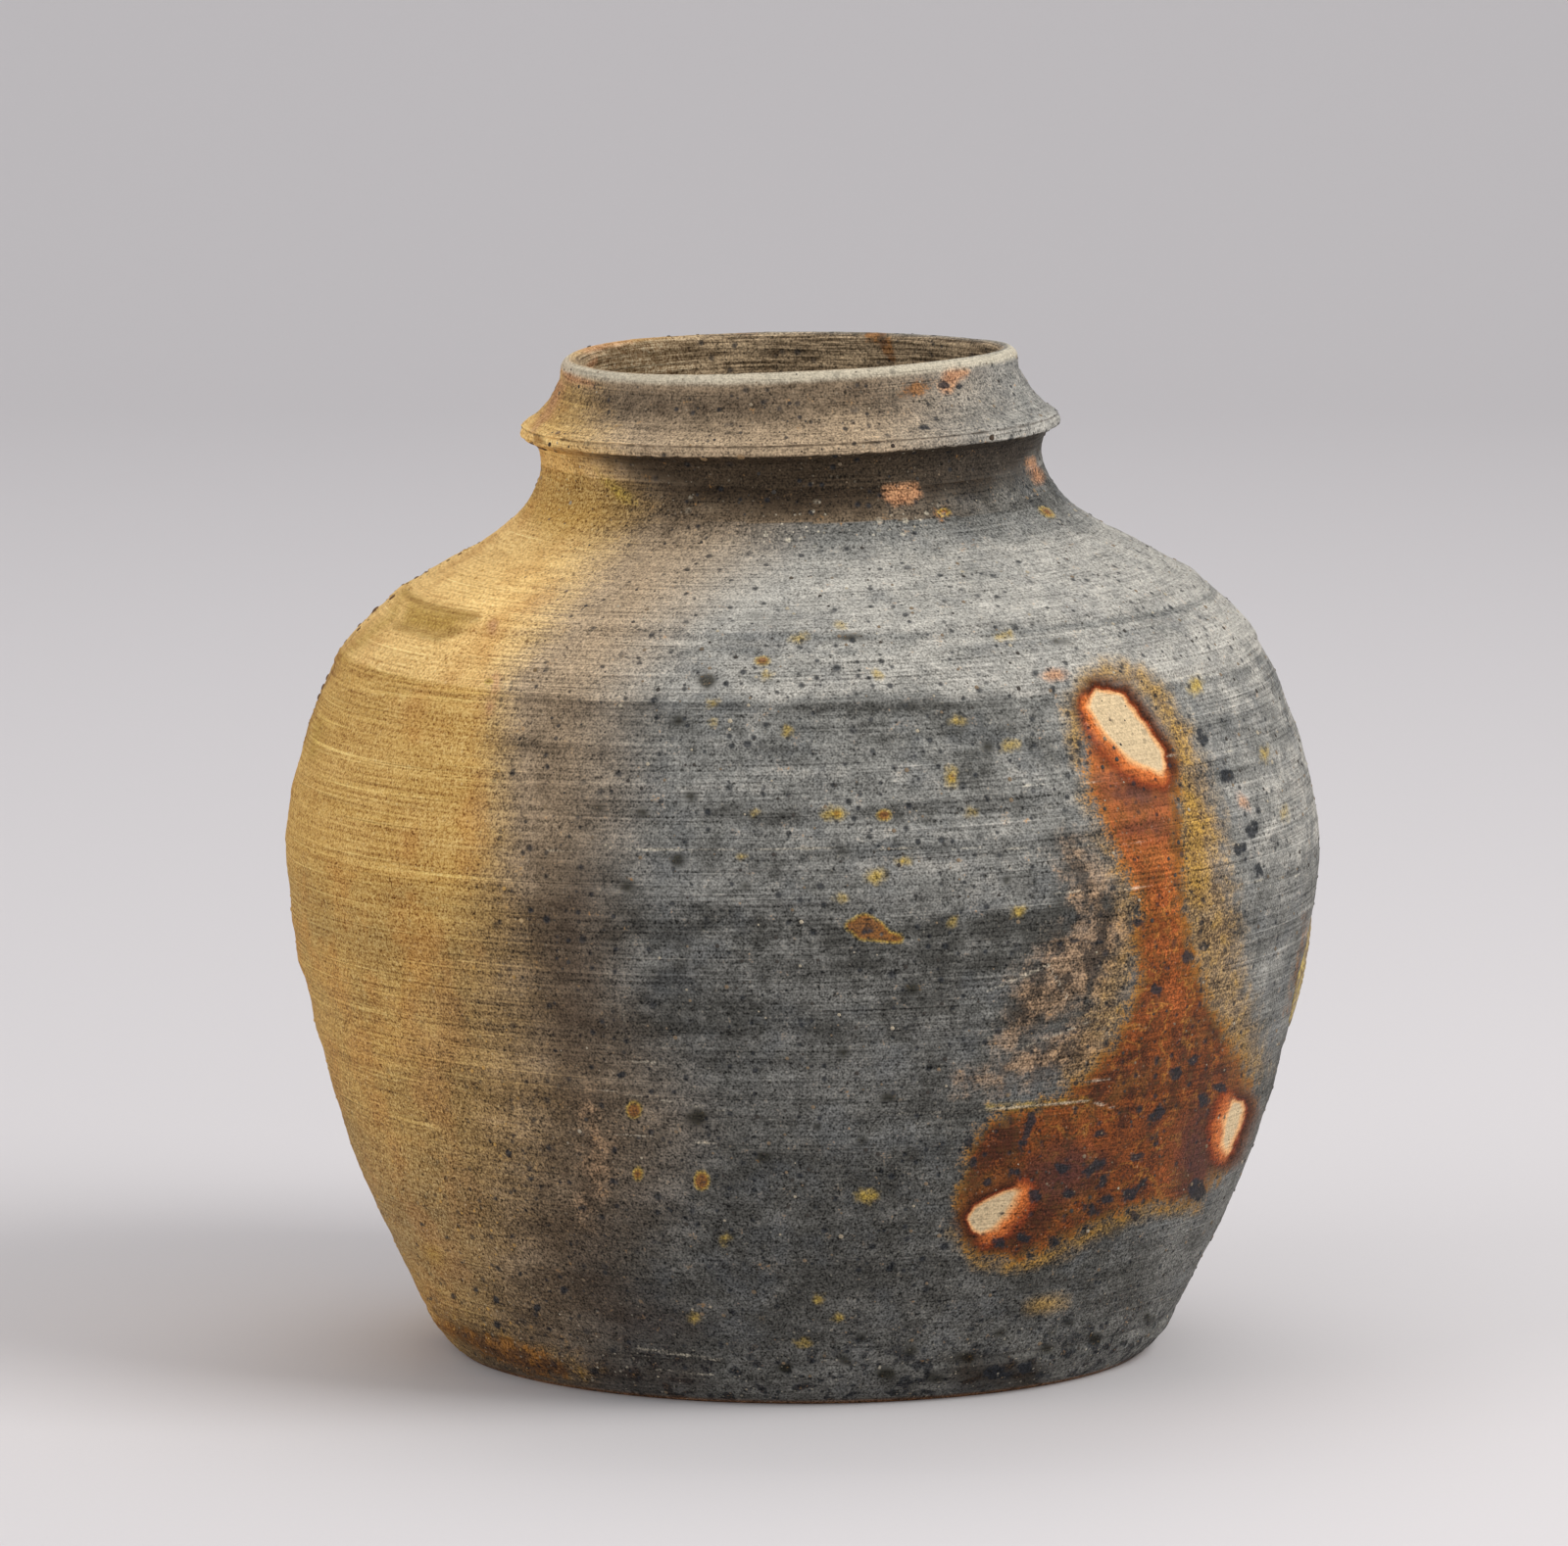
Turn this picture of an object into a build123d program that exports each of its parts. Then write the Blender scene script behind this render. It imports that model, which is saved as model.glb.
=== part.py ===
from build123d import *
from math import cos, radians, sin, tan
import os

# Wood-fired stoneware jar, built the way such a jar is built on the wheel: a beaten base disc,
# clay courses thrown one on another, a neck, a flange and a collar, each luted to the next
# with a film of slip, and one run of melted ash on its side.
# Millimetres, +Z up, origin at the centre of the foot. The jar faces -Y.

# Belly: the widest point, where the upper half was set on the lower half
waist_radius = 110.0
lean_deg = 1.5

# Walls and joints
wall = 5.5
slip = 0.5
seam_slope_deg = 25.0

# Lower half, from the floor up: each height is above the knot before it
base_thickness = 9.0
haunch_height = 22.5
flank_height = 33.0
waist_height = 45.0

# Lower half, from the waist down: each inset is from the knot above it
flank_inset = 6.8
haunch_inset = 11.2
heel_inset = 11.0
foot_inset = 7.5
heel_flare_deg = 24.0
heel_bulge = 0.9
cove_width = 10.0
cove_height = 12.0
cove_hollow = 2.5

# Upper half, from the waist up: height above, and inset from, the knot before it
breast_height = 23.5
breast_inset = 4.6
shoulder_height = 17.0
shoulder_inset = 7.4
crown_height = 12.9
crown_inset = 12.0
slope_height = 8.4
slope_inset = 14.0
root_height = 8.2
root_inset = 12.5
neck_height = 10.0
neck_inset = 6.0
throat_height = 6.0
throat_flare = 0.8
throat_angle_deg = 26.0

# Flange and collar
flange_overhang = 2.9
flange_drop = 1.6
flange_edge = 2.4
collar_height = 11.8
collar_taper = 8.7
collar_hollow = 1.8
lip_thickness = 4.3
mouth_length = 10.0

# Run of melted ash on the right-hand side: its middle is above the joint at the flank,
# turned a little from the +X side towards the front
ash_rise = 16.5
ash_turn_deg = 5.0
ash_length = 26.0
ash_width = 22.0
ash_thickness = 1.0

# Knots of the lower half's outer profile: radius and height above the floor
waist_level = base_thickness + haunch_height + flank_height + waist_height
waist = Vector(waist_radius, waist_level)
flank = waist - Vector(flank_inset, waist_height)
haunch = flank - Vector(haunch_inset, flank_height)
heel = haunch - Vector(heel_inset, haunch_height)
foot_radius = heel.X - foot_inset

# Knots of the upper half's outer profile: radius and height above the waist
breast = Vector(waist_radius - breast_inset, breast_height)
shoulder = breast + Vector(-shoulder_inset, shoulder_height)
crown = shoulder + Vector(-crown_inset, crown_height)
slope = crown + Vector(-slope_inset, slope_height)
root = slope + Vector(-root_inset, root_height)
neck = root + Vector(-neck_inset, neck_height)
throat = neck + Vector(throat_flare, throat_height)
flange_low = throat + Vector(flange_overhang, flange_drop)
flange_high = flange_low + Vector(0, flange_edge)
rim = flange_high + Vector(-collar_taper, collar_height)
mouth = rim - Vector(lip_thickness, 0)
lip_crest = (rim + mouth) / 2 + Vector(0, lip_thickness / 2)
mouth_bottom = mouth - Vector(0, mouth_length)

# The upper half leans to -X about the middle of the waist
lean = radians(lean_deg)
waist_center = (0, 0, waist_level)
lean_axis = Axis(waist_center, (-sin(lean), 0, cos(lean)))
lean_section = Plane(origin=waist_center, x_dir=(cos(lean), 0, sin(lean)), z_dir=(0, -1, 0))
waist_joint = Plane(origin=waist_center, x_dir=(cos(lean), 0, sin(lean)), z_dir=lean_axis.direction)
waist_spare = 2 * waist_radius * tan(lean) + wall


def direction(angle_deg):
    """Direction of a profile that opens outwards by an angle from the upright."""
    return Vector(sin(radians(angle_deg)), cos(radians(angle_deg)))


def inset_knots(profile, knots, depth):
    """Points at a depth inside an outer profile, square in from its knots, the top one first."""
    insets = []
    for knot in reversed(knots):
        run = profile.tangent_at(knot)
        insets.append(knot + Vector(-run.Y, run.X) * depth)
    return insets


def level_seam(knot):
    """Level joint line through a knot of the profile, from the jar's axis to well outside it."""
    return Vector(0, knot.Y), Vector(2 * knot.X, knot.Y)


def sloping_seam(knot):
    """Joint line through a knot of the profile that falls to the inside, well past the wall."""
    reach = 3 * wall
    inner = knot - Vector(reach, reach * tan(radians(seam_slope_deg)))
    return inner, knot, Vector(2 * knot.X, knot.Y)


def raised(line, height):
    """The same joint line, lifted by a height."""
    return [point + Vector(0, height) for point in line]


def cut_wall(wall_section, low_line, high_line):
    """Draw the stretch of a wall section that lies between two joint lines."""
    add(wall_section.sketch_local)
    Polygon(*low_line, *reversed(high_line), align=None, mode=Mode.INTERSECT)


# Wall section of the lower half, run on past both of its ends, with the cove inside the heel
lower_knots = (heel, haunch, flank, waist)
heel_run = direction(heel_flare_deg)
with BuildSketch(Plane.XZ) as lower_wall:
    with BuildLine():
        lower_profile = Spline(*lower_knots, tangents=(heel_run, (0, 1)))
        lower_lining = Spline(*inset_knots(lower_profile, lower_knots, wall), tangents=((0, -1), -heel_run))
        inner_waist = lower_lining @ 0
        Polyline(waist, waist + Vector(0, waist_spare), inner_waist + Vector(0, waist_spare), inner_waist)
        inner_heel = lower_lining @ 1
        Polyline(inner_heel, inner_heel - heel_run * wall, heel - heel_run * wall, heel)
    make_face()
    cove_toe = (inner_heel.X - cove_width, base_thickness)
    cove_top = inner_heel + heel_run * cove_height
    with BuildLine():
        Polyline(cove_top, heel, cove_toe)
        SagittaArc(cove_toe, cove_top, -cove_hollow)
    make_face()

# Wall section of the upper half, run on below the waist, with the flange and the collar
upper_knots = (Vector(waist_radius, 0), breast, shoulder, crown, slope, root, neck, throat)
throat_run = direction(throat_angle_deg)
with BuildSketch(lean_section) as upper_wall:
    with BuildLine():
        upper_profile = Spline(*upper_knots, tangents=((0, 1), throat_run))
        upper_lining = Spline(*inset_knots(upper_profile, upper_knots, wall), tangents=(-throat_run, (0, -1)))
        Line(throat, upper_lining @ 0)
        Line(upper_lining @ 1, upper_profile @ 0)
    make_face()
    with BuildLine():
        Polyline(throat, flange_low, flange_high)
        SagittaArc(flange_high, rim, collar_hollow)
        ThreePointArc(rim, lip_crest, mouth)
        Polyline(mouth, mouth_bottom, neck - Vector(wall, 0), throat)
    make_face()

# Joint lines, each at the foot of its film of slip
heel_seam = level_seam(heel)
flank_seam = sloping_seam(flank)
waist_seam = level_seam(upper_knots[0])
shoulder_seam = sloping_seam(shoulder)
root_seam = sloping_seam(root)
throat_seam = sloping_seam(throat)
flange_seam = level_seam(flange_high)
lower_end = level_seam(waist + Vector(0, waist_spare))
upper_end = level_seam(rim + Vector(0, lip_thickness))

# Base disc, beaten flat, with a rounded edge
with BuildPart() as base_disc:
    with BuildSketch(Plane.XZ):
        with BuildLine():
            Polyline(heel, (0, base_thickness), (0, 0), (foot_radius, 0))
            SagittaArc((foot_radius, 0), heel, -heel_bulge)
        make_face()
    revolve(axis=Axis.Z)

# First course, rising from the base, with the cove at its inner foot
with BuildPart() as foot_course:
    with BuildSketch(Plane.XZ):
        cut_wall(lower_wall, raised(heel_seam, slip), flank_seam)
    revolve(axis=Axis.Z)

# Second course, up to the waist, where it is cut to the upper half's lean
with BuildPart() as belly_course:
    with BuildSketch(Plane.XZ):
        cut_wall(lower_wall, raised(flank_seam, slip), lower_end)
    revolve(axis=Axis.Z)
    split(bisect_by=waist_joint, keep=Keep.BOTTOM)

# Third course, turning in from the waist to the shoulder
with BuildPart() as shoulder_course:
    with BuildSketch(lean_section):
        cut_wall(upper_wall, raised(waist_seam, slip), shoulder_seam)
    revolve(axis=lean_axis)

# Fourth course, closing the shoulder in to the root of the neck
with BuildPart() as crown_course:
    with BuildSketch(lean_section):
        cut_wall(upper_wall, raised(shoulder_seam, slip), root_seam)
    revolve(axis=lean_axis)

# Coil of the neck
with BuildPart() as neck_coil:
    with BuildSketch(lean_section):
        cut_wall(upper_wall, raised(root_seam, slip), throat_seam)
    revolve(axis=lean_axis)

# Coil that makes the sharp flange
with BuildPart() as flange_coil:
    with BuildSketch(lean_section):
        cut_wall(upper_wall, raised(throat_seam, slip), flange_seam)
    revolve(axis=lean_axis)

# Collar, tapering in to a rounded lip
with BuildPart() as collar_coil:
    with BuildSketch(lean_section):
        cut_wall(upper_wall, raised(flange_seam, slip), upper_end)
    revolve(axis=lean_axis)

# Run of melted ash, lying on the outside of the second course
with BuildPart() as ash_run:
    with BuildSketch(Plane.XZ):
        with BuildLine():
            add(lower_profile)
            skin = Spline(*inset_knots(lower_profile, lower_knots, -ash_thickness), tangents=((0, -1), -heel_run))
            Line(waist, skin @ 0)
            Line(skin @ 1, heel)
        make_face()
    revolve(axis=Axis.Z)
    with BuildSketch(Plane.YZ.rotated((0, -ash_turn_deg, 0))):
        with Locations((0, flank.Y + ash_rise)):
            Ellipse(ash_width / 2, ash_length / 2)
    extrude(amount=2 * waist_radius, mode=Mode.INTERSECT)

# Clay pieces and the ash
pieces = {
    "base_disc": base_disc,
    "foot_course": foot_course,
    "belly_course": belly_course,
    "shoulder_course": shoulder_course,
    "crown_course": crown_course,
    "neck_coil": neck_coil,
    "flange_coil": flange_coil,
    "collar_coil": collar_coil,
    "ash_run": ash_run,
}

# Films of slip, one in each joint
films = {
    "heel_slip": (Plane.XZ, Axis.Z, lower_wall, heel_seam),
    "flank_slip": (Plane.XZ, Axis.Z, lower_wall, flank_seam),
    "waist_slip": (lean_section, lean_axis, upper_wall, waist_seam),
    "shoulder_slip": (lean_section, lean_axis, upper_wall, shoulder_seam),
    "root_slip": (lean_section, lean_axis, upper_wall, root_seam),
    "throat_slip": (lean_section, lean_axis, upper_wall, throat_seam),
    "flange_slip": (lean_section, lean_axis, upper_wall, flange_seam),
}
for name, (section_plane, axis, wall_section, line) in films.items():
    with BuildPart() as film:
        with BuildSketch(section_plane):
            cut_wall(wall_section, line, raised(line, slip))
        revolve(axis=axis)
    pieces[name] = film

os.makedirs("parts", exist_ok=True)
for name, piece in pieces.items():
    piece.part.label = name
    export_step(piece.part, f"parts/{name}.step")
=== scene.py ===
"""Wood-fired stoneware jar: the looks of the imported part, in metres and in its frame."""

import logging
import math
from dataclasses import dataclass, field
from enum import Enum
from typing import Union

import bpy
import numpy as np
from bpy.types import ID, Material, Mesh, NodeSocket, NodeTree, Object
from mathutils import Matrix, Vector


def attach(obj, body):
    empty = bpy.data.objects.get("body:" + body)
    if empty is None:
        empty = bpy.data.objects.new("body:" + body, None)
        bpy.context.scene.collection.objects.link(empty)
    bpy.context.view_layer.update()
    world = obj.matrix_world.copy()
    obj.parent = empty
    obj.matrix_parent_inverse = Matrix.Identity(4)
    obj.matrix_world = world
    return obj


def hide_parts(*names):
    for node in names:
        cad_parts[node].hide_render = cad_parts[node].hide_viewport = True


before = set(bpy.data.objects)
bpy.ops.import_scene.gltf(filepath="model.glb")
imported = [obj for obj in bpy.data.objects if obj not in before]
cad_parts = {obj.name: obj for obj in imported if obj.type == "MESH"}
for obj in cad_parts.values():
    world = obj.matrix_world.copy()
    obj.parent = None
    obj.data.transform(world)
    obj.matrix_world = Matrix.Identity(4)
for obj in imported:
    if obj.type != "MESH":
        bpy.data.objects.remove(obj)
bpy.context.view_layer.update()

logging.basicConfig(level=logging.INFO, format="%(message)s")
LOG = logging.getLogger("jar")

MM = 0.001
QUARTER = math.pi / 2
Colour = tuple[float, float, float, float]
Knot = tuple[float, float]


def tint(red: int, green: int, blue: int) -> Colour:
    """Turn a screen colour, 0 to 255, into the linear colour that a shader takes."""
    linear = [((c / 255 + 0.055) / 1.055) ** 2.4 if c > 10 else c / 255 / 12.92 for c in (red, green, blue)]
    return (linear[0], linear[1], linear[2], 1.0)


def smooth(low: float, high: float, value: np.ndarray) -> np.ndarray:
    """Rise softly from 0 at low to 1 at high."""
    share = np.clip((value - low) / (high - low), 0.0, 1.0)
    return share * share * (3.0 - 2.0 * share)


def bell(middle: float, width: float, value: np.ndarray) -> np.ndarray:
    """Bell-shaped bump of height 1 about a middle."""
    return np.exp(-(((value - middle) / width) ** 2))


class Slot(Enum):
    """Material slots of the record."""

    CLAY = "fired_clay"
    SLIP = "slip"
    ASH = "ash_glass"


class Side(Enum):
    """Which way a mark's pixel place is read: through the camera, or unrolled round the back."""

    FRONT = "front"
    BACK = "back"


# Node wiring


@dataclass(frozen=True)
class Wire:
    """One node output, with Python's operators for sums on it."""

    board: "Board"
    socket: NodeSocket

    def __add__(self, other: "Value") -> "Wire":
        """Sum."""
        return self.board.math("ADD", self, other)

    __radd__ = __add__

    def __sub__(self, other: "Value") -> "Wire":
        """Difference."""
        return self.board.math("SUBTRACT", self, other)

    def __rsub__(self, other: "Value") -> "Wire":
        """Difference, the other way round."""
        return self.board.math("SUBTRACT", other, self)

    def __mul__(self, other: "Value") -> "Wire":
        """Product."""
        return self.board.math("MULTIPLY", self, other)

    def __truediv__(self, other: "Value") -> "Wire":
        """Quotient."""
        return self.board.math("DIVIDE", self, other)

    def __pow__(self, other: "Value") -> "Wire":
        """Power."""
        return self.board.math("POWER", self, other)


Value = Union[Wire, float, int, bool, str, tuple]


@dataclass(frozen=True)
class Board:
    """A node tree that is wired from Python."""

    tree: NodeTree

    def feed(self, socket: NodeSocket, value: Value) -> None:
        """Link a wire to a socket, or set the socket's value.

        Args:
            socket: the input socket.
            value: the wire or the value.
        """
        if isinstance(value, Wire):
            self.tree.links.new(value.socket, socket)
        else:
            socket.default_value = value

    def node(self, kind: str, settings: dict | None = None, inputs: dict | None = None,
             output: int | str = 0) -> Wire:
        """Add one node.

        Args:
            kind: Blender's name for the node type.
            settings: the node's own properties, set first.
            inputs: socket values or wires by socket name or number.
            output: which output is returned.

        Returns:
            The wire of that output.
        """
        made = self.tree.nodes.new(kind)
        for name, value in (settings or {}).items():
            setattr(made, name, value)
        for key, value in (inputs or {}).items():
            self.feed(made.inputs[key], value)
        return Wire(self, made.outputs[output])

    def end(self, kind: str, value: Wire) -> None:
        """Feed a wire to the tree's output node."""
        self.feed(self.tree.nodes.new(kind).inputs[0], value)

    def math(self, operation: str, *values: Value) -> Wire:
        """Scalar maths node."""
        return self.node("ShaderNodeMath", {"operation": operation}, dict(enumerate(values)))

    def vector(self, operation: str, *values: Value) -> Wire:
        """Vector maths node."""
        return self.node("ShaderNodeVectorMath", {"operation": operation}, dict(enumerate(values)))

    def scaled(self, value: Wire, amount: Value) -> Wire:
        """Vector times a number."""
        return self.node("ShaderNodeVectorMath", {"operation": "SCALE"}, {0: value, "Scale": amount})

    def join(self, x: Value, y: Value, z: Value) -> Wire:
        """Vector of three numbers."""
        return self.node("ShaderNodeCombineXYZ", None, {0: x, 1: y, 2: z})

    def split(self, value: Wire) -> tuple[Wire, Wire, Wire]:
        """The three numbers of a vector or a colour."""
        made = self.node("ShaderNodeSeparateXYZ", None, {0: value}).socket.node
        return Wire(self, made.outputs[0]), Wire(self, made.outputs[1]), Wire(self, made.outputs[2])

    def step(self, value: Value, low: Value, high: Value) -> Wire:
        """Soft step from 0 at low to 1 at high."""
        settings = {"interpolation_type": "SMOOTHSTEP"}
        return self.node("ShaderNodeMapRange", settings, {0: value, 1: low, 2: high, 3: 0.0, 4: 1.0})

    def mix(self, share: Value, first: Value, second: Value, blend: str = "MIX") -> Wire:
        """Mix of two colours."""
        settings = {"data_type": "RGBA", "blend_type": blend}
        return self.node("ShaderNodeMix", settings, {0: share, 6: first, 7: second}, 2)

    def shaded(self, colour: Wire, shade: Wire) -> Wire:
        """Colour times a shade."""
        return self.mix(1.0, colour, self.join(shade, shade, shade), "MULTIPLY")

    def noise(self, place: Wire, scale: float, detail: float = 2.0, rough: float = 0.55) -> Wire:
        """Noise of about 0 to 1 with a mean of 0.5."""
        inputs = {"Vector": place, "Scale": scale, "Detail": detail, "Roughness": rough}
        return self.node("ShaderNodeTexNoise", None, inputs)

    def place(self) -> Wire:
        """The object's own coordinates, in metres."""
        return self.node("ShaderNodeTexCoord", None, None, "Object")

    def attribute(self, name: str) -> Wire:
        """A number stored on the mesh under a name."""
        return self.node("ShaderNodeAttribute", {"attribute_name": name}, None, "Fac")

    def ramp(self, share: Wire, *stops: tuple[float, Colour]) -> Wire:
        """Colour ramp through stops of place and colour.

        Args:
            share: where the ramp is read.
            stops: places of 0 to 1, each with its colour.

        Returns:
            The ramp's colour.
        """
        made = self.node("ShaderNodeValToRGB", None, {0: share}).socket.node
        elements = made.color_ramp.elements
        while len(elements) < len(stops):
            elements.new(1.0)
        for element, (place, colour) in zip(elements, stops):
            element.position = place
            element.color = colour
        return Wire(self, made.outputs[0])

    def bump(self, height: Wire, distance: float) -> Wire:
        """Normal of a small relief."""
        return self.node("ShaderNodeBump", None, {"Strength": 0.8, "Distance": distance, "Height": height})

    def store(self, shape: Wire, name: str, value: Wire) -> Wire:
        """Store a number on the points of a shape."""
        return self.node("GeometryNodeStoreNamedAttribute", {"data_type": "FLOAT", "domain": "POINT"},
                         {0: shape, "Name": name, "Value": value})

    def chance(self, seed: Value) -> Wire:
        """Random number of 0 to 1 for each point."""
        inputs = {2: 0.0, 3: 1.0, "Seed": seed}
        return self.node("FunctionNodeRandomValue", {"data_type": "FLOAT"}, inputs, 1)

    def surface(self, inputs: dict[str, Value]) -> None:
        """Feed a principled shader to the material's output."""
        self.end("ShaderNodeOutputMaterial", self.node("ShaderNodeBsdfPrincipled", None, inputs))


def shader_board(name: str) -> tuple[Material, Board]:
    """New material with an empty node tree.

    Args:
        name: the material's name.

    Returns:
        The material, and the board of its tree.
    """
    material = bpy.data.materials.new(name)
    material.use_nodes = True
    material.node_tree.nodes.clear()
    return material, Board(material.node_tree)


class Jig:
    """A geometry node tree with named inputs, which is run on an object and baked."""

    def __init__(self, name: str, inputs: dict[str, str], result: str) -> None:
        """Open an empty tree.

        Args:
            name: the tree's name.
            inputs: kind of socket by input name; the first input is the shape that the jig works on.
            result: name of the output.
        """
        self.tree = bpy.data.node_groups.new(name, "GeometryNodeTree")
        self.board = Board(self.tree)
        sockets = self.tree.interface
        self.keys = {}
        for label, kind in inputs.items():
            socket = sockets.new_socket(name=label, in_out="INPUT", socket_type="NodeSocket" + kind)
            self.keys[label] = socket.identifier
        sockets.new_socket(name=result, in_out="OUTPUT", socket_type="NodeSocketGeometry")
        start = self.tree.nodes.new("NodeGroupInput")
        self.given = {socket.name: Wire(self.board, socket) for socket in start.outputs if socket.name}

    def deliver(self, shape: Wire, material: Wire) -> None:
        """Realize a shape's instances, set its material and give it out.

        Args:
            shape: the finished shape.
            material: its material.
        """
        shape = self.board.node("GeometryNodeRealizeInstances", None, {0: shape})
        shape = self.board.node("GeometryNodeSetMaterial", None, {0: shape, "Material": material})
        self.board.end("NodeGroupOutput", shape)

    def run(self, piece: Object, values: dict[str, object]) -> Object:
        """Run the jig on an object.

        Args:
            piece: the object, whose mesh is the first input.
            values: the other inputs by name.

        Returns:
            The same object, as a plain mesh.
        """
        modifier = piece.modifiers.new(self.tree.name, "NODES")
        modifier.node_group = self.tree
        for label, value in values.items():
            modifier[self.keys[label]] = value
        return bake(piece)


# Meshes and objects


def stand(name: str, data: ID) -> Object:
    """New object in the scene, at the origin.

    Args:
        name: its name.
        data: its mesh, lamp or camera.

    Returns:
        The object.
    """
    made = bpy.data.objects.new(name, data)
    bpy.context.scene.collection.objects.link(made)
    return made


def point_places(mesh: Mesh) -> np.ndarray:
    """Places of a mesh's points.

    Args:
        mesh: the mesh.

    Returns:
        One row of x, y and z for each point.
    """
    places = np.empty(len(mesh.vertices) * 3)
    mesh.vertices.foreach_get("co", places)
    return places.reshape(-1, 3)


def numbers(mesh: Mesh, name: str) -> np.ndarray:
    """Values of a number stored on the mesh's points.

    Args:
        mesh: the mesh.
        name: the name it is stored under.

    Returns:
        One value for each point.
    """
    values = np.empty(len(mesh.vertices), np.float32)
    mesh.attributes[name].data.foreach_get("value", values)
    return values.astype(float)


def store_numbers(mesh: Mesh, stored: dict[str, np.ndarray]) -> None:
    """Store numbers on the mesh's points, by name."""
    for name, values in stored.items():
        mesh.attributes.new(name, "FLOAT", "POINT").data.foreach_set("value", values.astype(np.float32))


def bake(piece: Object) -> Object:
    """Turn an object's modifiers into plain mesh, with its normals facing outwards.

    Args:
        piece: the object.

    Returns:
        The same object.
    """
    bpy.context.view_layer.update()
    graph = bpy.context.evaluated_depsgraph_get()
    made = bpy.data.meshes.new_from_object(piece.evaluated_get(graph))
    piece.modifiers.clear()
    piece.data = made
    made.name = piece.name
    places = point_places(made)
    made.calc_loop_triangles()
    corners = np.empty(len(made.loop_triangles) * 3, int)
    made.loop_triangles.foreach_get("vertices", corners)
    a, b, c = (places[corners[i::3]] - places.mean(axis=0) for i in range(3))
    if np.einsum("ij,ij->i", a, np.cross(b, c)).sum() < 0:
        made.flip_normals()
    return piece


# Shape of the section


@dataclass(frozen=True)
class JarSizes:
    """Sizes of the jar in millimetres. A knot is a radius and a height above the waist's plane."""

    waist_level: float = 109.5
    lean_deg: float = 1.5
    wall: float = 5.5
    slip: float = 0.5
    seam_slope_deg: float = 25.0
    foot: Knot = (73.5, -109.5)
    heel: Knot = (81.0, -100.5)
    haunch: Knot = (92.0, -78.0)
    flank: Knot = (103.2, -45.0)
    waist: Knot = (110.0, 0.0)
    breast: Knot = (105.4, 23.5)
    shoulder: Knot = (98.0, 40.5)
    crown: Knot = (86.0, 53.4)
    slope: Knot = (72.0, 61.8)
    root: Knot = (59.5, 70.0)
    neck: Knot = (53.5, 80.0)
    throat: Knot = (54.3, 86.0)
    flange_low: Knot = (57.2, 87.6)
    flange_high: Knot = (57.2, 90.0)
    rim: Knot = (48.5, 101.8)
    mouth_radius: float = 44.2
    mouth_length: float = 10.0
    heel_flare_deg: float = 24.0
    heel_bulge: float = 0.9
    throat_angle_deg: float = 26.0
    collar_hollow: float = 1.8
    cove_width: float = 10.0
    cove_height: float = 12.0
    cove_hollow: float = 2.5

    def lean_slope(self) -> float:
        """Rise of the leaning upper half's levels per length across."""
        return math.tan(math.radians(self.lean_deg))


def opening(angle_deg: float) -> np.ndarray:
    """Direction that opens outwards by an angle from the upright."""
    return np.array((math.sin(math.radians(angle_deg)), math.cos(math.radians(angle_deg))))


def line(start: Knot, end: Knot, step: float = 0.2) -> np.ndarray:
    """Points on a straight line."""
    count = max(2, int(math.dist(start, end) / step) + 1)
    return np.linspace(start, end, count)


def arc(start: Knot, end: Knot, bulge: float, step: float = 0.2) -> np.ndarray:
    """Points on a circular arc that bulges to the right of its travel.

    Args:
        start: its first point.
        end: its last point.
        bulge: height over the chord, below 0 to the left.
        step: spacing of the points.

    Returns:
        Array of radius and height.
    """
    first, last = np.array(start, float), np.array(end, float)
    chord = np.linalg.norm(last - first)
    radius = (chord * chord / 4 + bulge * bulge) / (2 * abs(bulge))
    along = (last - first) / chord
    across = np.array((along[1], -along[0])) * math.copysign(1.0, bulge)
    place = np.linspace(-chord / 2, chord / 2, max(6, int(chord / step)))
    rise = np.sqrt(radius * radius - place * place) - (radius - abs(bulge))
    return first + np.outer(place + chord / 2, along) + np.outer(rise, across)


def spline(knots: list[Knot], start: np.ndarray, end: np.ndarray, step: float = 0.2) -> np.ndarray:
    """Points on a smooth curve through knots.

    Args:
        knots: the points that it goes through.
        start: direction at its start.
        end: direction at its end.
        step: spacing of the points.

    Returns:
        Array of radius and height.
    """
    points = np.array(knots, float)
    gaps = np.diff(points, axis=0)
    chord = np.linalg.norm(gaps, axis=1)
    count = len(points)
    system = np.eye(count)
    right = np.zeros((count, 2))
    right[0], right[-1] = start, end
    for i in range(1, count - 1):
        before, after = chord[i - 1], chord[i]
        system[i, i - 1:i + 2] = after, 2 * (before + after), before
        right[i] = 3 * (before / after * gaps[i] + after / before * gaps[i - 1])
    slopes = np.linalg.solve(system, right)
    pieces = []
    for i in range(count - 1):
        t = np.linspace(0.0, 1.0, max(3, int(chord[i] / step)))[:, None]
        pieces.append((2 * t**3 - 3 * t**2 + 1) * points[i] + (t**3 - 2 * t**2 + t) * chord[i] * slopes[i]
                      + (3 * t**2 - 2 * t**3) * points[i + 1] + (t**3 - t**2) * chord[i] * slopes[i + 1])
    return np.concatenate(pieces)


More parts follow.
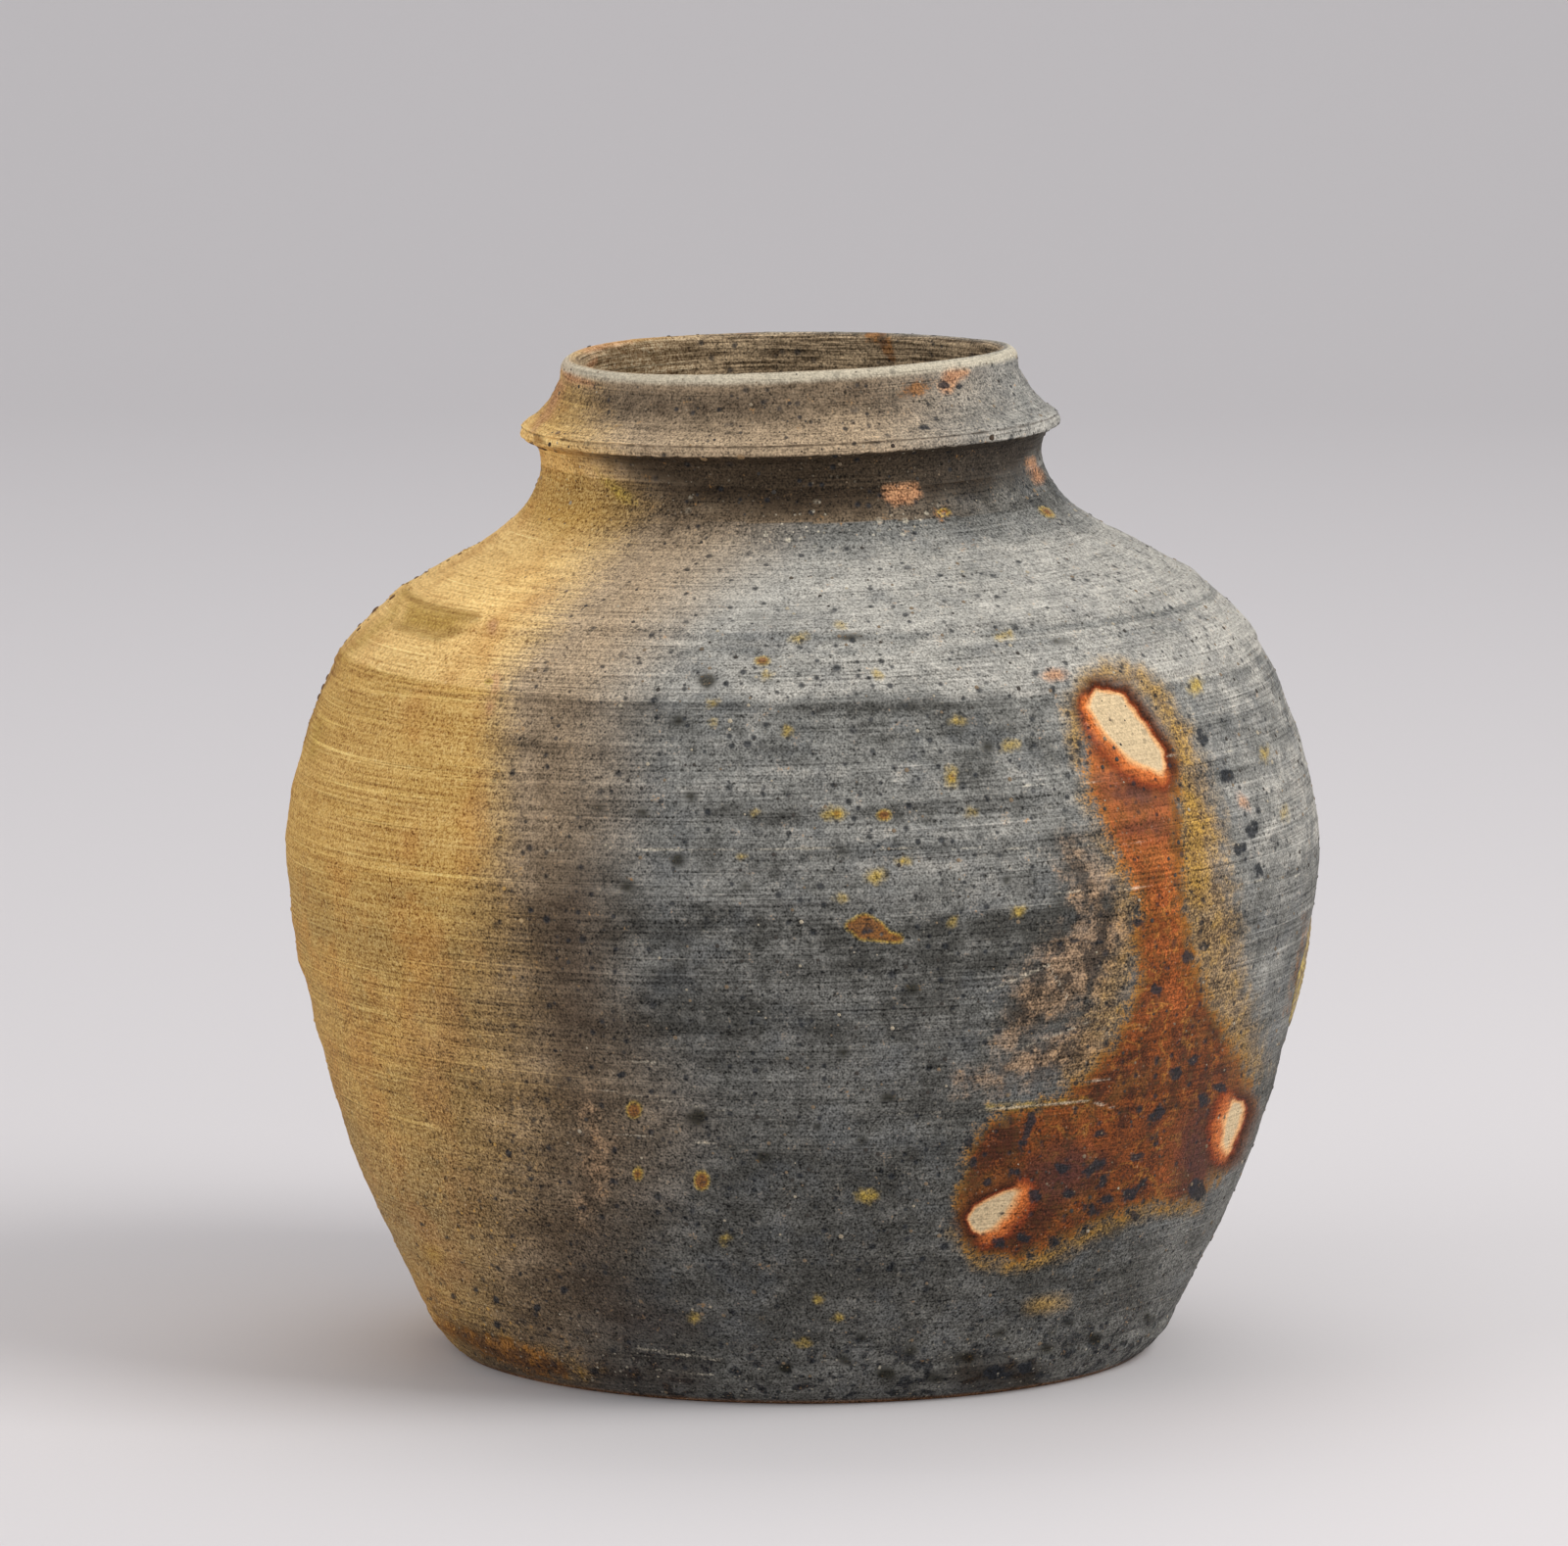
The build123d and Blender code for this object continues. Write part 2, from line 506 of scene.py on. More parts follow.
@dataclass
class Path:
    """A polyline of the section with the length run along it."""

    points: np.ndarray
    start: float = 0.0
    run: np.ndarray = field(init=False)

    def __post_init__(self) -> None:
        """Drop repeated points and measure the length along the rest."""
        gaps = np.linalg.norm(np.diff(self.points, axis=0), axis=1)
        self.points = self.points[np.concatenate(([True], gaps > 1e-6))]
        gaps = np.linalg.norm(np.diff(self.points, axis=0), axis=1)
        self.run = self.start + np.concatenate(([0.0], np.cumsum(gaps)))

    def at(self, run: np.ndarray) -> np.ndarray:
        """Radius and height at lengths along the path."""
        return np.stack([np.interp(run, self.run, self.points[:, i]) for i in (0, 1)], axis=-1)

    def slant(self, run: np.ndarray, reach: float = 0.6) -> np.ndarray:
        """Angle of the normal above the level, out of the wall on the right of the travel."""
        ahead = self.at(run + reach) - self.at(run - reach)
        return np.arctan2(-ahead[:, 0], ahead[:, 1])

    def meet(self, knot: Knot, fall: float, lift: float) -> float:
        """Length at which the path meets a joint line through a knot, nearest to that knot.

        Args:
            knot: where the joint line leaves the outer skin.
            fall: how much the line falls per length towards the inside.
            lift: how far the line is raised.

        Returns:
            The length along the path.
        """
        inward = np.maximum(knot[0] - self.points[:, 0], 0.0)
        above = self.points[:, 1] - (knot[1] + lift - inward * fall)
        side = above > 1e-6
        crossings = np.nonzero(side[1:] != side[:-1])[0]
        distance = np.linalg.norm(self.points[crossings] - np.array(knot), axis=1)
        i = crossings[np.argmin(distance)]
        share = above[i] / (above[i] - above[i + 1])
        return float(self.run[i] + share * (self.run[i + 1] - self.run[i]))


@dataclass(frozen=True)
class Section:
    """Outline of one piece, ready to turn on the wheel.

    Skin is 1 on the outside of the jar, 0 on its inside and 0.5 on a joint.
    """

    points: np.ndarray
    run: np.ndarray
    skin: np.ndarray
    slant: np.ndarray
    closed: bool


Stretch = tuple[np.ndarray, np.ndarray, np.ndarray, np.ndarray]


class JarSection:
    """The whole jar's section, from which each piece's outline is cut."""

    SEAM_STEP = 1.6
    FLOOR_STEP = 3.0
    JOINT = 0.5

    def __init__(self, sizes: JarSizes) -> None:
        """Draw the outside and the inside of the wall.

        Args:
            sizes: the jar's sizes.
        """
        self.sizes = sizes
        fall = math.tan(math.radians(sizes.seam_slope_deg))
        self.seams = {
            "heel": (sizes.heel, 0.0),
            "flank": (sizes.flank, fall),
            "waist": (sizes.waist, 0.0),
            "shoulder": (sizes.shoulder, fall),
            "root": (sizes.root, fall),
            "throat": (sizes.throat, fall),
            "flange": (sizes.flange_high, 0.0),
        }
        self.outside = self._outside()
        self.inside = self._inside()

    def _lower(self) -> np.ndarray:
        """Outer profile from the heel to the waist."""
        s = self.sizes
        return spline([s.heel, s.haunch, s.flank, s.waist], opening(s.heel_flare_deg), opening(0.0))

    def _upper(self) -> np.ndarray:
        """Outer profile from the waist to the throat.

        Returns:
            Array of radius and height.
        """
        s = self.sizes
        knots = [s.waist, s.breast, s.shoulder, s.crown, s.slope, s.root, s.neck, s.throat]
        return spline(knots, opening(0.0), opening(s.throat_angle_deg))

    def _crest(self, start: float, end: float) -> np.ndarray:
        """Part of the half round of the lip.

        Args:
            start: angle at its start.
            end: angle at its end.

        Returns:
            Array of radius and height.
        """
        s = self.sizes
        lip = (s.rim[0] - s.mouth_radius) / 2
        turn = np.linspace(start, end, 16)
        return np.stack([s.rim[0] - lip + lip * np.cos(turn), s.rim[1] + lip * np.sin(turn)], axis=-1)

    def _outside(self) -> Path:
        """Outer skin, from the middle of the foot to the crest of the lip.

        Returns:
            The path.
        """
        s = self.sizes
        return Path(np.concatenate([
            line((0.0, s.foot[1]), s.foot),
            arc(s.foot, s.heel, s.heel_bulge),
            self._lower(),
            self._upper(),
            line(s.throat, s.flange_low),
            line(s.flange_low, s.flange_high),
            arc(s.flange_high, s.rim, -s.collar_hollow),
            self._crest(0.0, QUARTER),
        ]))

    def _inside(self) -> Path:
        """Inner skin, from the crest of the lip down to the middle of the floor.

        Returns:
            The path, whose length goes on from the outer skin's.
        """
        s = self.sizes
        upper = self._inset(self._upper(), [s.root, s.slope, s.crown, s.shoulder, s.breast, s.waist])
        lower = self._inset(self._lower(), [s.flank, s.haunch, s.heel])
        throat = (s.neck[0] - s.wall, s.neck[1])
        down = -opening(s.heel_flare_deg)
        lining = spline([throat, *upper, *lower], np.array((0.0, -1.0)), down)
        cove_top = lining[-1] - down * s.cove_height
        cove_toe = (lining[-1][0] - s.cove_width, s.heel[1])
        lining = lining[lining[:, 1] > cove_top[1]]
        mouth_bottom = (s.mouth_radius, s.rim[1] - s.mouth_length)
        return Path(np.concatenate([
            self._crest(QUARTER, math.pi),
            line((s.mouth_radius, s.rim[1]), mouth_bottom),
            line(mouth_bottom, throat),
            lining,
            arc(tuple(lining[-1]), cove_toe, -s.cove_hollow),
            line(cove_toe, (0.0, s.heel[1])),
        ]), self.outside.run[-1])

    def _inset(self, profile: np.ndarray, knots: list[Knot]) -> list[Knot]:
        """Points at the wall's thickness inside a profile, square in from its knots.

        Args:
            profile: points of the profile.
            knots: the knots on it.

        Returns:
            One point for each knot.
        """
        ahead = np.gradient(profile, axis=0)
        insets = []
        for knot in knots:
            i = int(np.argmin(np.linalg.norm(profile - np.array(knot), axis=1)))
            run = ahead[i] / np.linalg.norm(ahead[i])
            insets.append((knot[0] - run[1] * self.sizes.wall, knot[1] + run[0] * self.sizes.wall))
        return insets

    def _skin(self, path: Path, start: float, end: float, step: float) -> Stretch:
        """Evenly spaced stretch of one skin: points, lengths, skin and slant.

        Args:
            path: the outer or the inner skin.
            start: length at its start.
            end: length at its end.
            step: spacing of the points.

        Returns:
            The stretch.
        """
        count = max(2, int(round(abs(end - start) / step)) + 1)
        run = np.linspace(start, end, count)
        return path.at(run), run, np.full(count, 1.0 if path is self.outside else 0.0), path.slant(run)

    def _joint(self, start: np.ndarray, end: np.ndarray, run: float) -> Stretch:
        """Joint face between the two skins, without its ends.

        Args:
            start: its first end.
            end: its last end.
            run: length that is stored on it.

        Returns:
            The stretch.
        """
        count = max(1, int(np.linalg.norm(end - start) / self.SEAM_STEP))
        share = (np.arange(count) + 1) / (count + 1)
        points = start + np.outer(share, end - start)
        return points, np.full(count, run), np.full(count, self.JOINT), np.zeros(count)

    def _cut(self, joint: str, lift: float) -> tuple[float, float]:
        """Lengths at which a joint line cuts the outer and the inner skin."""
        knot, fall = self.seams[joint]
        return self.outside.meet(knot, fall, lift), self.inside.meet(knot, fall, lift)

    def piece(self, low: tuple[str, float], high: tuple[str, float] | None, step: float,
              inner_step: float) -> Section:
        """Cut one piece out of the wall.

        Args:
            low: name of the joint below it, and how far up its film of slip the piece starts.
            high: the same for the joint above it, or None for the piece that ends in the lip.
            step: spacing of the rows on the outside.
            inner_step: spacing of the rows on the inside.

        Returns:
            The closed section.
        """
        outer_low, inner_low = self._cut(*low)
        outer_high, inner_high = self._cut(*high) if high else (self.outside.run[-1], self.inside.run[0])
        outer = self._skin(self.outside, outer_low, outer_high, step)
        inner = self._skin(self.inside, inner_high, inner_low, inner_step)
        parts = [outer]
        if high:
            parts.append(self._joint(outer[0][-1], inner[0][0], outer_high))
        else:
            inner = tuple(values[1:] for values in inner)
        parts += [inner, self._joint(inner[0][-1], outer[0][0], outer_low)]
        return self._section(parts, True)

    def base(self, step: float) -> Section:
        """The base disc: foot, rounded edge and the face that the first course stands on.

        Args:
            step: spacing of the rows on the edge.

        Returns:
            The open section.
        """
        heel = self.outside.meet(self.sizes.heel, 0.0, 0.0)
        corner = self.sizes.foot[0]
        sole = self._skin(self.outside, 0.0, corner, 4 * step)
        sole[2][:-1] = self.JOINT
        edge = tuple(values[1:] for values in self._skin(self.outside, corner, heel, step))
        floor = line(tuple(edge[0][-1]), (0.0, self.sizes.heel[1]), self.FLOOR_STEP)[1:]
        flat = np.ones(len(floor))
        face = (floor, flat * self.inside.run[-1], flat * self.JOINT, flat * QUARTER)
        return self._section([sole, edge, face], False)

    def _section(self, parts: list[Stretch], closed: bool) -> Section:
        """Put the stretches of an outline together."""
        points, run, skin, slant = (np.concatenate([part[i] for part in parts]) for i in range(4))
        return Section(points, run, skin, slant, closed)


# Turning on the wheel


@dataclass
class Wheel:
    """Geometry nodes that turn a section into a ring and give it the marks of throwing."""

    sizes: JarSizes
    segments: int = 720
    radius: float = 0.1
    weld: float = 0.00002
    ridge_depth: float = 0.00016
    ridge_pitch: float = 1.15
    ridge_reach: float = 3.0
    swell_depth: float = 0.0005
    swell_pitch: float = 9.0
    swell_reach: float = 1.3
    edge_depth: float = 0.0008
    edge_size: float = 0.0035
    edge_drop: float = 1.2
    edge_reach: float = 2.2
    edge_stretch: float = 1.3
    lean_from: float = -0.045
    seed: float = 7.3
    jig: Jig = field(init=False)

    def __post_init__(self) -> None:
        """Build the node tree once."""
        inputs = {"Section": "Geometry", "Segments": "Int"}
        inputs |= dict.fromkeys(("Radius", "Lean", "Lean From", "Waist Level", "Ridge Depth", "Ridge Pitch",
                                 "Swell Depth", "Swell Pitch", "Edge Depth", "Edge Size", "Seed"), "Float")
        self.jig = Jig("turn_on_wheel", inputs | {"Clay": "Material"}, "Ring")
        self._wire(self.jig.board, self.jig.given)

    def _wire(self, board: Board, given: dict[str, Wire]) -> None:
        """Sweep, ridges, swell, ragged edge, lean, shading and material.

        Args:
            board: the jig's tree.
            given: the jig's inputs by name.
        """
        curve = board.node("GeometryNodeMeshToCurve", None, {0: given["Section"]})
        circle = board.node("GeometryNodeCurvePrimitiveCircle", None,
                            {"Resolution": given["Segments"], "Radius": given["Radius"]})
        upright = board.node("GeometryNodeSetCurveNormal", {"mode": "Z_UP"}, {0: circle})
        ring = board.node("GeometryNodeCurveToMesh", None, {"Curve": upright, "Profile Curve": curve})
        ring = board.node("GeometryNodeMergeByDistance", None, {0: ring, "Distance": self.weld})
        place = board.node("GeometryNodeInputPosition")
        x, y, z = board.split(place)
        ring = board.store(ring, "turn", board.math("ARCTAN2", x, 0.0 - y))
        run, skin, slant, edge = (
            board.node("GeometryNodeInputNamedAttribute", {"data_type": "FLOAT"}, {"Name": name})
            for name in ("run", "skin", "slant", "edge"))
        out_x, out_y, _ = board.split(board.vector("NORMALIZE", board.join(x, y, 0.0)))

        def waves(pitch: str, depth: str, reach: float) -> Wire:
            """Waves along the section that change slowly round the ring.

            Args:
                pitch: name of the input with their length.
                depth: name of the input with their height.
                reach: how fast they change round the ring.

            Returns:
                Their height.
            """
            along = given["Seed"] + run / given[pitch]
            wave = board.noise(board.join(out_x * reach, out_y * reach, along), 1.0, 1.0) - 0.5
            return wave * given[depth] * 2.0

        size = given["Edge Size"]
        jag = board.noise(board.vector("DIVIDE", place, board.join(size, size, size)), 1.0, 3.0) - 0.5
        amount = (waves("Ridge Pitch", "Ridge Depth", self.ridge_reach)
                  + waves("Swell Pitch", "Swell Depth", self.swell_reach)
                  + jag * given["Edge Depth"] * 2.0 * edge)
        amount = amount * board.math("ABSOLUTE", skin * 2.0 - 1.0)
        level = board.math("COSINE", slant)
        normal = board.join(out_x * level, out_y * level, board.math("SINE", slant))
        ring = board.node("GeometryNodeSetPosition", None, {0: ring, "Offset": board.scaled(normal, amount)})
        angle = given["Lean"] * board.step(z, given["Lean From"], 0.0)
        sine, cosine = board.math("SINE", angle), board.math("COSINE", angle)
        leaning = board.join(x * cosine - z * sine, y, x * sine + z * cosine + given["Waist Level"])
        ring = board.node("GeometryNodeSetPosition", None, {0: ring, "Position": leaning})
        ring = board.node("GeometryNodeSetShadeSmooth", None, {0: ring})
        self.jig.deliver(ring, given["Clay"])

    def turn(self, name: str, section: Section, clay: Material) -> Object:
        """Turn one section into a closed ring.

        Args:
            name: the piece's name.
            section: its outline.
            clay: its material.

        Returns:
            The piece, as a plain mesh.
        """
        count = len(section.run)
        links = [(i, i + 1) for i in range(count - 1)]
        if section.closed:
            links.append((count - 1, 0))
        radius, height = section.points.T
        rows = np.stack([radius * MM - self.radius, -height * MM, np.zeros(count)], axis=-1)
        mesh = bpy.data.meshes.new(name + "_section")
        mesh.from_pydata(rows.tolist(), links, [])
        edge = self.sizes.flange_high
        apart = np.hypot(radius - edge[0], (height - edge[1] + self.edge_drop) / self.edge_stretch)
        ragged = bell(0.0, self.edge_reach, apart) * (section.skin > 0.7)
        stored = {"run": section.run, "skin": section.skin, "slant": section.slant, "edge": ragged}
        store_numbers(mesh, stored)
        return self.jig.run(stand(name, mesh), {
            "Segments": self.segments, "Radius": self.radius, "Lean": math.radians(self.sizes.lean_deg),
            "Lean From": self.lean_from, "Waist Level": self.sizes.waist_level * MM,
            "Ridge Depth": self.ridge_depth, "Ridge Pitch": self.ridge_pitch,
            "Swell Depth": self.swell_depth, "Swell Pitch": self.swell_pitch,
            "Edge Depth": self.edge_depth, "Edge Size": self.edge_size, "Seed": self.seed, "Clay": clay,
        })


# Marks of the kiln


@dataclass(frozen=True)
class PhotoView:
    """The camera of the picture: where a point of the jar falls, in pixels of the 1600 by 1578 frame."""

    width: float = 1600.0
    height: float = 1578.0
    focal: float = 11564.0
    aside: float = -0.00366
    distance: float = 2.4
    level: float = 0.441
    aim_level: float = 0.123

    def pixels(self, points: np.ndarray) -> tuple[np.ndarray, np.ndarray]:
        """Pixel places, across and down, of points in metres.

        Args:
            points: rows of x, y and z.

        Returns:
            Pixels across, and pixels down.
        """
        ahead = np.array((0.0, self.distance, self.aim_level - self.level))
        ahead = ahead / np.linalg.norm(ahead)
        up = np.array((0.0, -ahead[2], ahead[1]))
        ray = points - np.array((self.aside, -self.distance, self.level))
        depth = ray @ ahead
        across = self.width / 2 + self.focal * ray[:, 0] / depth
        down = self.height / 2 - self.focal * (ray @ up) / depth
        return across, down


@dataclass(frozen=True)
class Oval:
    """An oval mark in pixels: middle, half length, half width, turn, and the side it is on."""

    across: float
    down: float
    long: float
    wide: float
    turn_deg: float = 0.0
    side: Side = Side.FRONT

    def gap(self, across: np.ndarray, down: np.ndarray) -> np.ndarray:
        """Distance from the oval's edge in pixels, below 0 inside.

        Args:
            across: places in pixels across.
            down: places in pixels down.

        Returns:
            One distance for each place.
        """
        turn = math.radians(self.turn_deg)
        dx, dy = across - self.across, down - self.down
        along = dx * math.cos(turn) + dy * math.sin(turn)
        beside = dy * math.cos(turn) - dx * math.sin(turn)
        return (np.hypot(along / self.long, beside / self.wide) - 1.0) * min(self.long, self.wide)

    def box(self) -> tuple[float, float, float, float]:
        """Left, right, top and bottom."""
        reach = max(self.long, self.wide)
        return self.across - reach, self.across + reach, self.down - reach, self.down + reach


@dataclass(frozen=True)
class Streak:
    """A streak of changing width: a chain of pixel places with a radius at each."""

    links: tuple[tuple[float, float, float], ...]
    side: Side = Side.FRONT

    def gap(self, across: np.ndarray, down: np.ndarray) -> np.ndarray:
        """Distance from the streak's edge in pixels, below 0 inside.

        Args:
            across: places in pixels across.
            down: places in pixels down.

        Returns:
            One distance for each place.
        """
        nearest = np.full(across.shape, np.inf)
        for (x0, y0, r0), (x1, y1, r1) in zip(self.links[:-1], self.links[1:]):
            share, away = from_line(across - x0, down - y0, x1 - x0, y1 - y0)
            nearest = np.minimum(nearest, away - (r0 + share * (r1 - r0)))
        return nearest

    def box(self) -> tuple[float, float, float, float]:
        """Left, right, top and bottom."""
        across, down, radius = (np.array(values) for values in zip(*self.links))
        return min(across - radius), max(across + radius), min(down - radius), max(down + radius)


@dataclass(frozen=True)
class Patch:
    """An outlined patch on the front: pixel places round its edge."""

    outline: tuple[tuple[float, float], ...]
    side: Side = Side.FRONT

    def gap(self, across: np.ndarray, down: np.ndarray) -> np.ndarray:
        """Distance from the patch's edge in pixels, below 0 inside.

        Args:
            across: places in pixels across.
            down: places in pixels down.

        Returns:
            One distance for each place.
        """
        nearest = np.full(across.shape, np.inf)
        inside = np.zeros(across.shape, bool)
        for (x0, y0), (x1, y1) in zip(self.outline, self.outline[1:] + self.outline[:1]):
            dx, dy = x1 - x0, y1 - y0
            nearest = np.minimum(nearest, from_line(across - x0, down - y0, dx, dy)[1])
            if dy:
                inside ^= ((y0 > down) != (y1 > down)) & (across < x0 + (down - y0) * dx / dy)
        return np.where(inside, -nearest, nearest)

    def box(self) -> tuple[float, float, float, float]:
        """Left, right, top and bottom."""
        across, down = zip(*self.outline)
        return min(across), max(across), min(down), max(down)


Mark = Union[Oval, Streak, Patch]
Marks = tuple[Mark, ...]


def from_line(x: np.ndarray, y: np.ndarray, dx: float, dy: float) -> tuple[np.ndarray, np.ndarray]:
    """Share along a straight line, and distance from it, of places measured from its start.

    Args:
        x: how far across the places are.
        y: how far down the places are.
        dx: how far across the line goes.
        dy: how far down the line goes.

    Returns:
        Shares of 0 to 1, and distances.
    """
    share = np.clip((x * dx + y * dy) / (dx * dx + dy * dy), 0.0, 1.0)
    return share, np.hypot(x - share * dx, y - share * dy)


def ovals(*rows: tuple[float, ...], side: Side = Side.FRONT) -> Marks:
    """Ovals from rows of across, down, half length, half width and, where it is turned, its angle."""
    return tuple(Oval(*row, side=side) for row in rows)


def streaks(*chains: tuple[tuple[float, float, float], ...], side: Side = Side.FRONT) -> Marks:
    """Streaks from chains of across, down and radius."""
    return tuple(Streak(chain, side) for chain in chains)


def patches(*outlines: tuple[tuple[float, float], ...]) -> Marks:
    """Patches from outlines of across and down."""
    return tuple(Patch(outline) for outline in outlines)


SCARS = patches(
    ((1119, 702), (1146, 708), (1166, 735), (1187, 766), (1191, 783), (1184, 791), (1154, 778),
     (1126, 750), (1110, 722), (1112, 710)),
    ((986, 1244), (995, 1230), (1016, 1219), (1036, 1212), (1042, 1216), (1030, 1238), (1014, 1254),
     (1002, 1262), (992, 1256)),
    ((1257, 1121), (1268, 1124), (1271, 1134), (1264, 1154), (1255, 1177), (1250, 1181), (1246, 1170),
     (1248, 1146)),
)
GLOWS = streaks(
    ((1104, 716, 5), (1112, 744, 9), (1128, 772, 13), (1154, 794, 16), (1186, 802, 12)),
    ((1004, 1272, 7), (1032, 1254, 14), (1050, 1230, 17), (1052, 1206, 12)),
    ((1240, 1184, 7), (1236, 1152, 13), (1248, 1118, 7)),
)
FLASHES = patches(
    ((1107, 745), (1106, 790), (1111, 814), (1123, 838), (1136, 862), (1146, 890), (1160, 912),
     (1163, 930), (1154, 950), (1160, 985), (1158, 1012), (1146, 1042), (1130, 1072), (1108, 1098),
     (1082, 1117), (1046, 1130), (1010, 1141), (992, 1162), (985, 1192), (979, 1216), (972, 1242),
     (981, 1268), (1000, 1283), (1040, 1287), (1080, 1271), (1120, 1249), (1170, 1231), (1218, 1228),
     (1240, 1204), (1254, 1182), (1267, 1158), (1275, 1130), (1277, 1108), (1268, 1082), (1252, 1054),
     (1236, 1024), (1222, 985), (1211, 950), (1207, 920), (1205, 880), (1204, 830), (1202, 800),
     (1198, 775)),
)
PURPLES = ovals(
    (1158, 808, 32, 14, 10), (1166, 846, 20, 8), (1078, 1200, 40, 22, -20), (1222, 1176, 20, 40, 10),
)
HALOS = streaks(
    ((1099, 776, 5), (1096, 742, 9), (1099, 710, 10), (1108, 694, 11), (1130, 685, 12), (1156, 689, 12),
     (1178, 706, 12), (1197, 738, 12), (1206, 772, 10)),
    ((972, 1258, 3), (998, 1287, 6), (1045, 1291, 6), (1085, 1276, 6), (1122, 1253, 6), (1170, 1235, 6),
     (1218, 1230, 5)),
    ((1208, 800, 8), (1218, 838, 16), (1217, 880, 15), (1222, 918, 10)),
)
STRIPS = streaks(
    ((1206, 748, 8), (1216, 795, 18), (1224, 855, 26), (1228, 920, 30), (1238, 980, 30), (1252, 1040, 26),
     (1276, 1085, 14)),
    ((1104, 800, 4), (1122, 850, 6), (1146, 905, 8), (1148, 960, 12), (1130, 1030, 18), (1100, 1092, 18)),
    ((446, 1338, 5), (500, 1366, 11), (560, 1388, 11), (600, 1402, 6)),
)
SCUFFS = streaks(
    ((1030, 1062, 10), (1062, 1015, 28), (1098, 985, 36), (1128, 950, 24)),
    ((1092, 866, 14), (1116, 912, 22)), ((985, 1105, 8), (1040, 1090, 18), (1100, 1070, 24)),
    ((600, 1125, 6), (612, 1180, 10), (596, 1240, 6)),
)
# Soot on the neck with painted shadow under the flange, front and back, and a dark streak near the floor at
# the foot.
SOOTS_AND_SHADOWS = patches(
    ((560, 430), (650, 430), (760, 435), (880, 430), (1000, 415), (1066, 400), (1066, 456), (1040, 484),
     (1000, 498), (945, 505), (880, 514), (800, 520), (740, 512), (690, 498), (640, 480), (595, 458)),
) + streaks(
    ((985, 1402, 10), (1050, 1404, 10)),
) + streaks(
    ((-60, 468, 16), (400, 474, 18), (800, 474, 15), (1040, 466, 6), (1160, 462, 2)),
    side=Side.BACK,
)
CHARS = streaks(
    ((588, 890, 10), (582, 960, 24), (584, 1040, 24), (578, 1100, 8)),
    ((590, 1290, 14), (640, 1345, 26), (700, 1352, 10)),
    ((480, 1368, 8), (540, 1392, 14), (620, 1402, 16), (700, 1406, 10)),
    # The last streak darkens a band on the upper collar, below the lip.
    ((640, 404, 4), (760, 409, 9), (890, 400, 4)),
)
OLIVES = patches(
    ((416, 606), (434, 616), (458, 622), (484, 628), (478, 640), (460, 648), (444, 651), (424, 645),
     (402, 640), (411, 628)),
) + streaks(
    ((352, 672, 3), (374, 650, 5), (400, 630, 5), (414, 606, 3)), ((318, 770, 5), (326, 740, 6)),
) + ovals(
    (1068, 1331, 14, 6, -10), (442, 1282, 10, 6, 40),
)
OLIVE_EDGES = streaks(
    ((416, 607, 2), (432, 618, 3), (456, 625, 4), (486, 631, 5)),
    ((404, 640, 3), (425, 645, 3), (447, 651, 4), (466, 645, 3)),
)
PINKS = patches(
    ((902, 495), (936, 492), (941, 506), (930, 514), (912, 518), (898, 508)),
) + streaks(
    ((1052, 472, 5), (1060, 488, 6)), ((966, 396, 8), (972, 384, 10), (984, 382, 5)),
    ((574, 368, 7), (582, 384, 6), (604, 390, 3)), ((570, 392, 5), (560, 420, 4), (543, 440, 3)),
) + streaks(
    ((1560, 366, 8), (1420, 364, 9), (1300, 362, 8), (1180, 361, 5), (1080, 361, 3)),
    ((1600, 380, 8), (1500, 384, 7), (1420, 380, 4)),
    side=Side.BACK,
) + ovals(
    (1268, 818, 4, 9, -35), (1076, 690, 13, 7), (507, 700, 5, 12), (503, 640, 6, 8), (500, 722, 5, 8),
)
RUSTS = streaks(
    ((448, 1352, 5), (500, 1373, 11), (550, 1391, 13), (575, 1399, 7)),
    ((309, 758, 2.5), (318, 731, 3), (327, 706, 3), (338, 687, 3), (348, 667, 2.5), (366, 638, 2),
     (404, 601, 2)),
    ((548, 448, 4), (568, 458, 3), (592, 462, 2)),
    ((1193, 764, 4), (1198, 800, 5), (1201, 845, 5), (1200, 884, 4), (1206, 930, 3), (1216, 975, 2)),
    ((1331, 932, 1), (1330, 962, 1.5), (1320, 1003, 2), (1313, 1034, 1.5)),
) + streaks(
    ((600, 362, 4), (560, 364, 8), (530, 378, 12), (520, 384, 8)),
    ((930, 362, 3), (900, 361, 5), (880, 361, 3)),
    side=Side.BACK,
) + ovals(
    (935, 398, 16, 9, -20), (962, 524, 8, 6),
)
YELLOW_SPOTS = ovals(
    (884, 1220, 11, 7), (895, 894, 10, 8), (971, 793, 6, 9), (850, 830, 11, 7), (1023, 649, 8, 4),
    (816, 652, 7, 4), (858, 639, 5, 3), (976, 736, 7, 5), (803, 746, 5, 5), (895, 690, 5, 4),
    (1031, 761, 8, 6), (992, 829, 6, 5), (820, 1370, 6, 4), (855, 1345, 5, 4), (835, 1327, 4, 4),
    (757, 875, 4, 4), (740, 1265, 5, 4), (922, 878, 6, 4), (972, 940, 5, 5), (727, 717, 5, 4),
    (728, 738, 4, 4), (770, 830, 3, 3), (1060, 1127, 50, 2.5, -4), (858, 916, 6, 4), (782, 690, 5, 4),
    (1040, 930, 7, 5), (1290, 770, 4, 8), (630, 500, 20, 5, 40), (1220, 700, 7, 9), (1310, 830, 3, 6),
    (708, 1345, 5, 4),
) + ovals(
    (300, 900, 12, 8), (760, 980, 10, 8), (1200, 880, 10, 7), (880, 760, 9, 7), (680, 700, 9, 7),
    (1100, 720, 9, 7),
    side=Side.BACK,
)
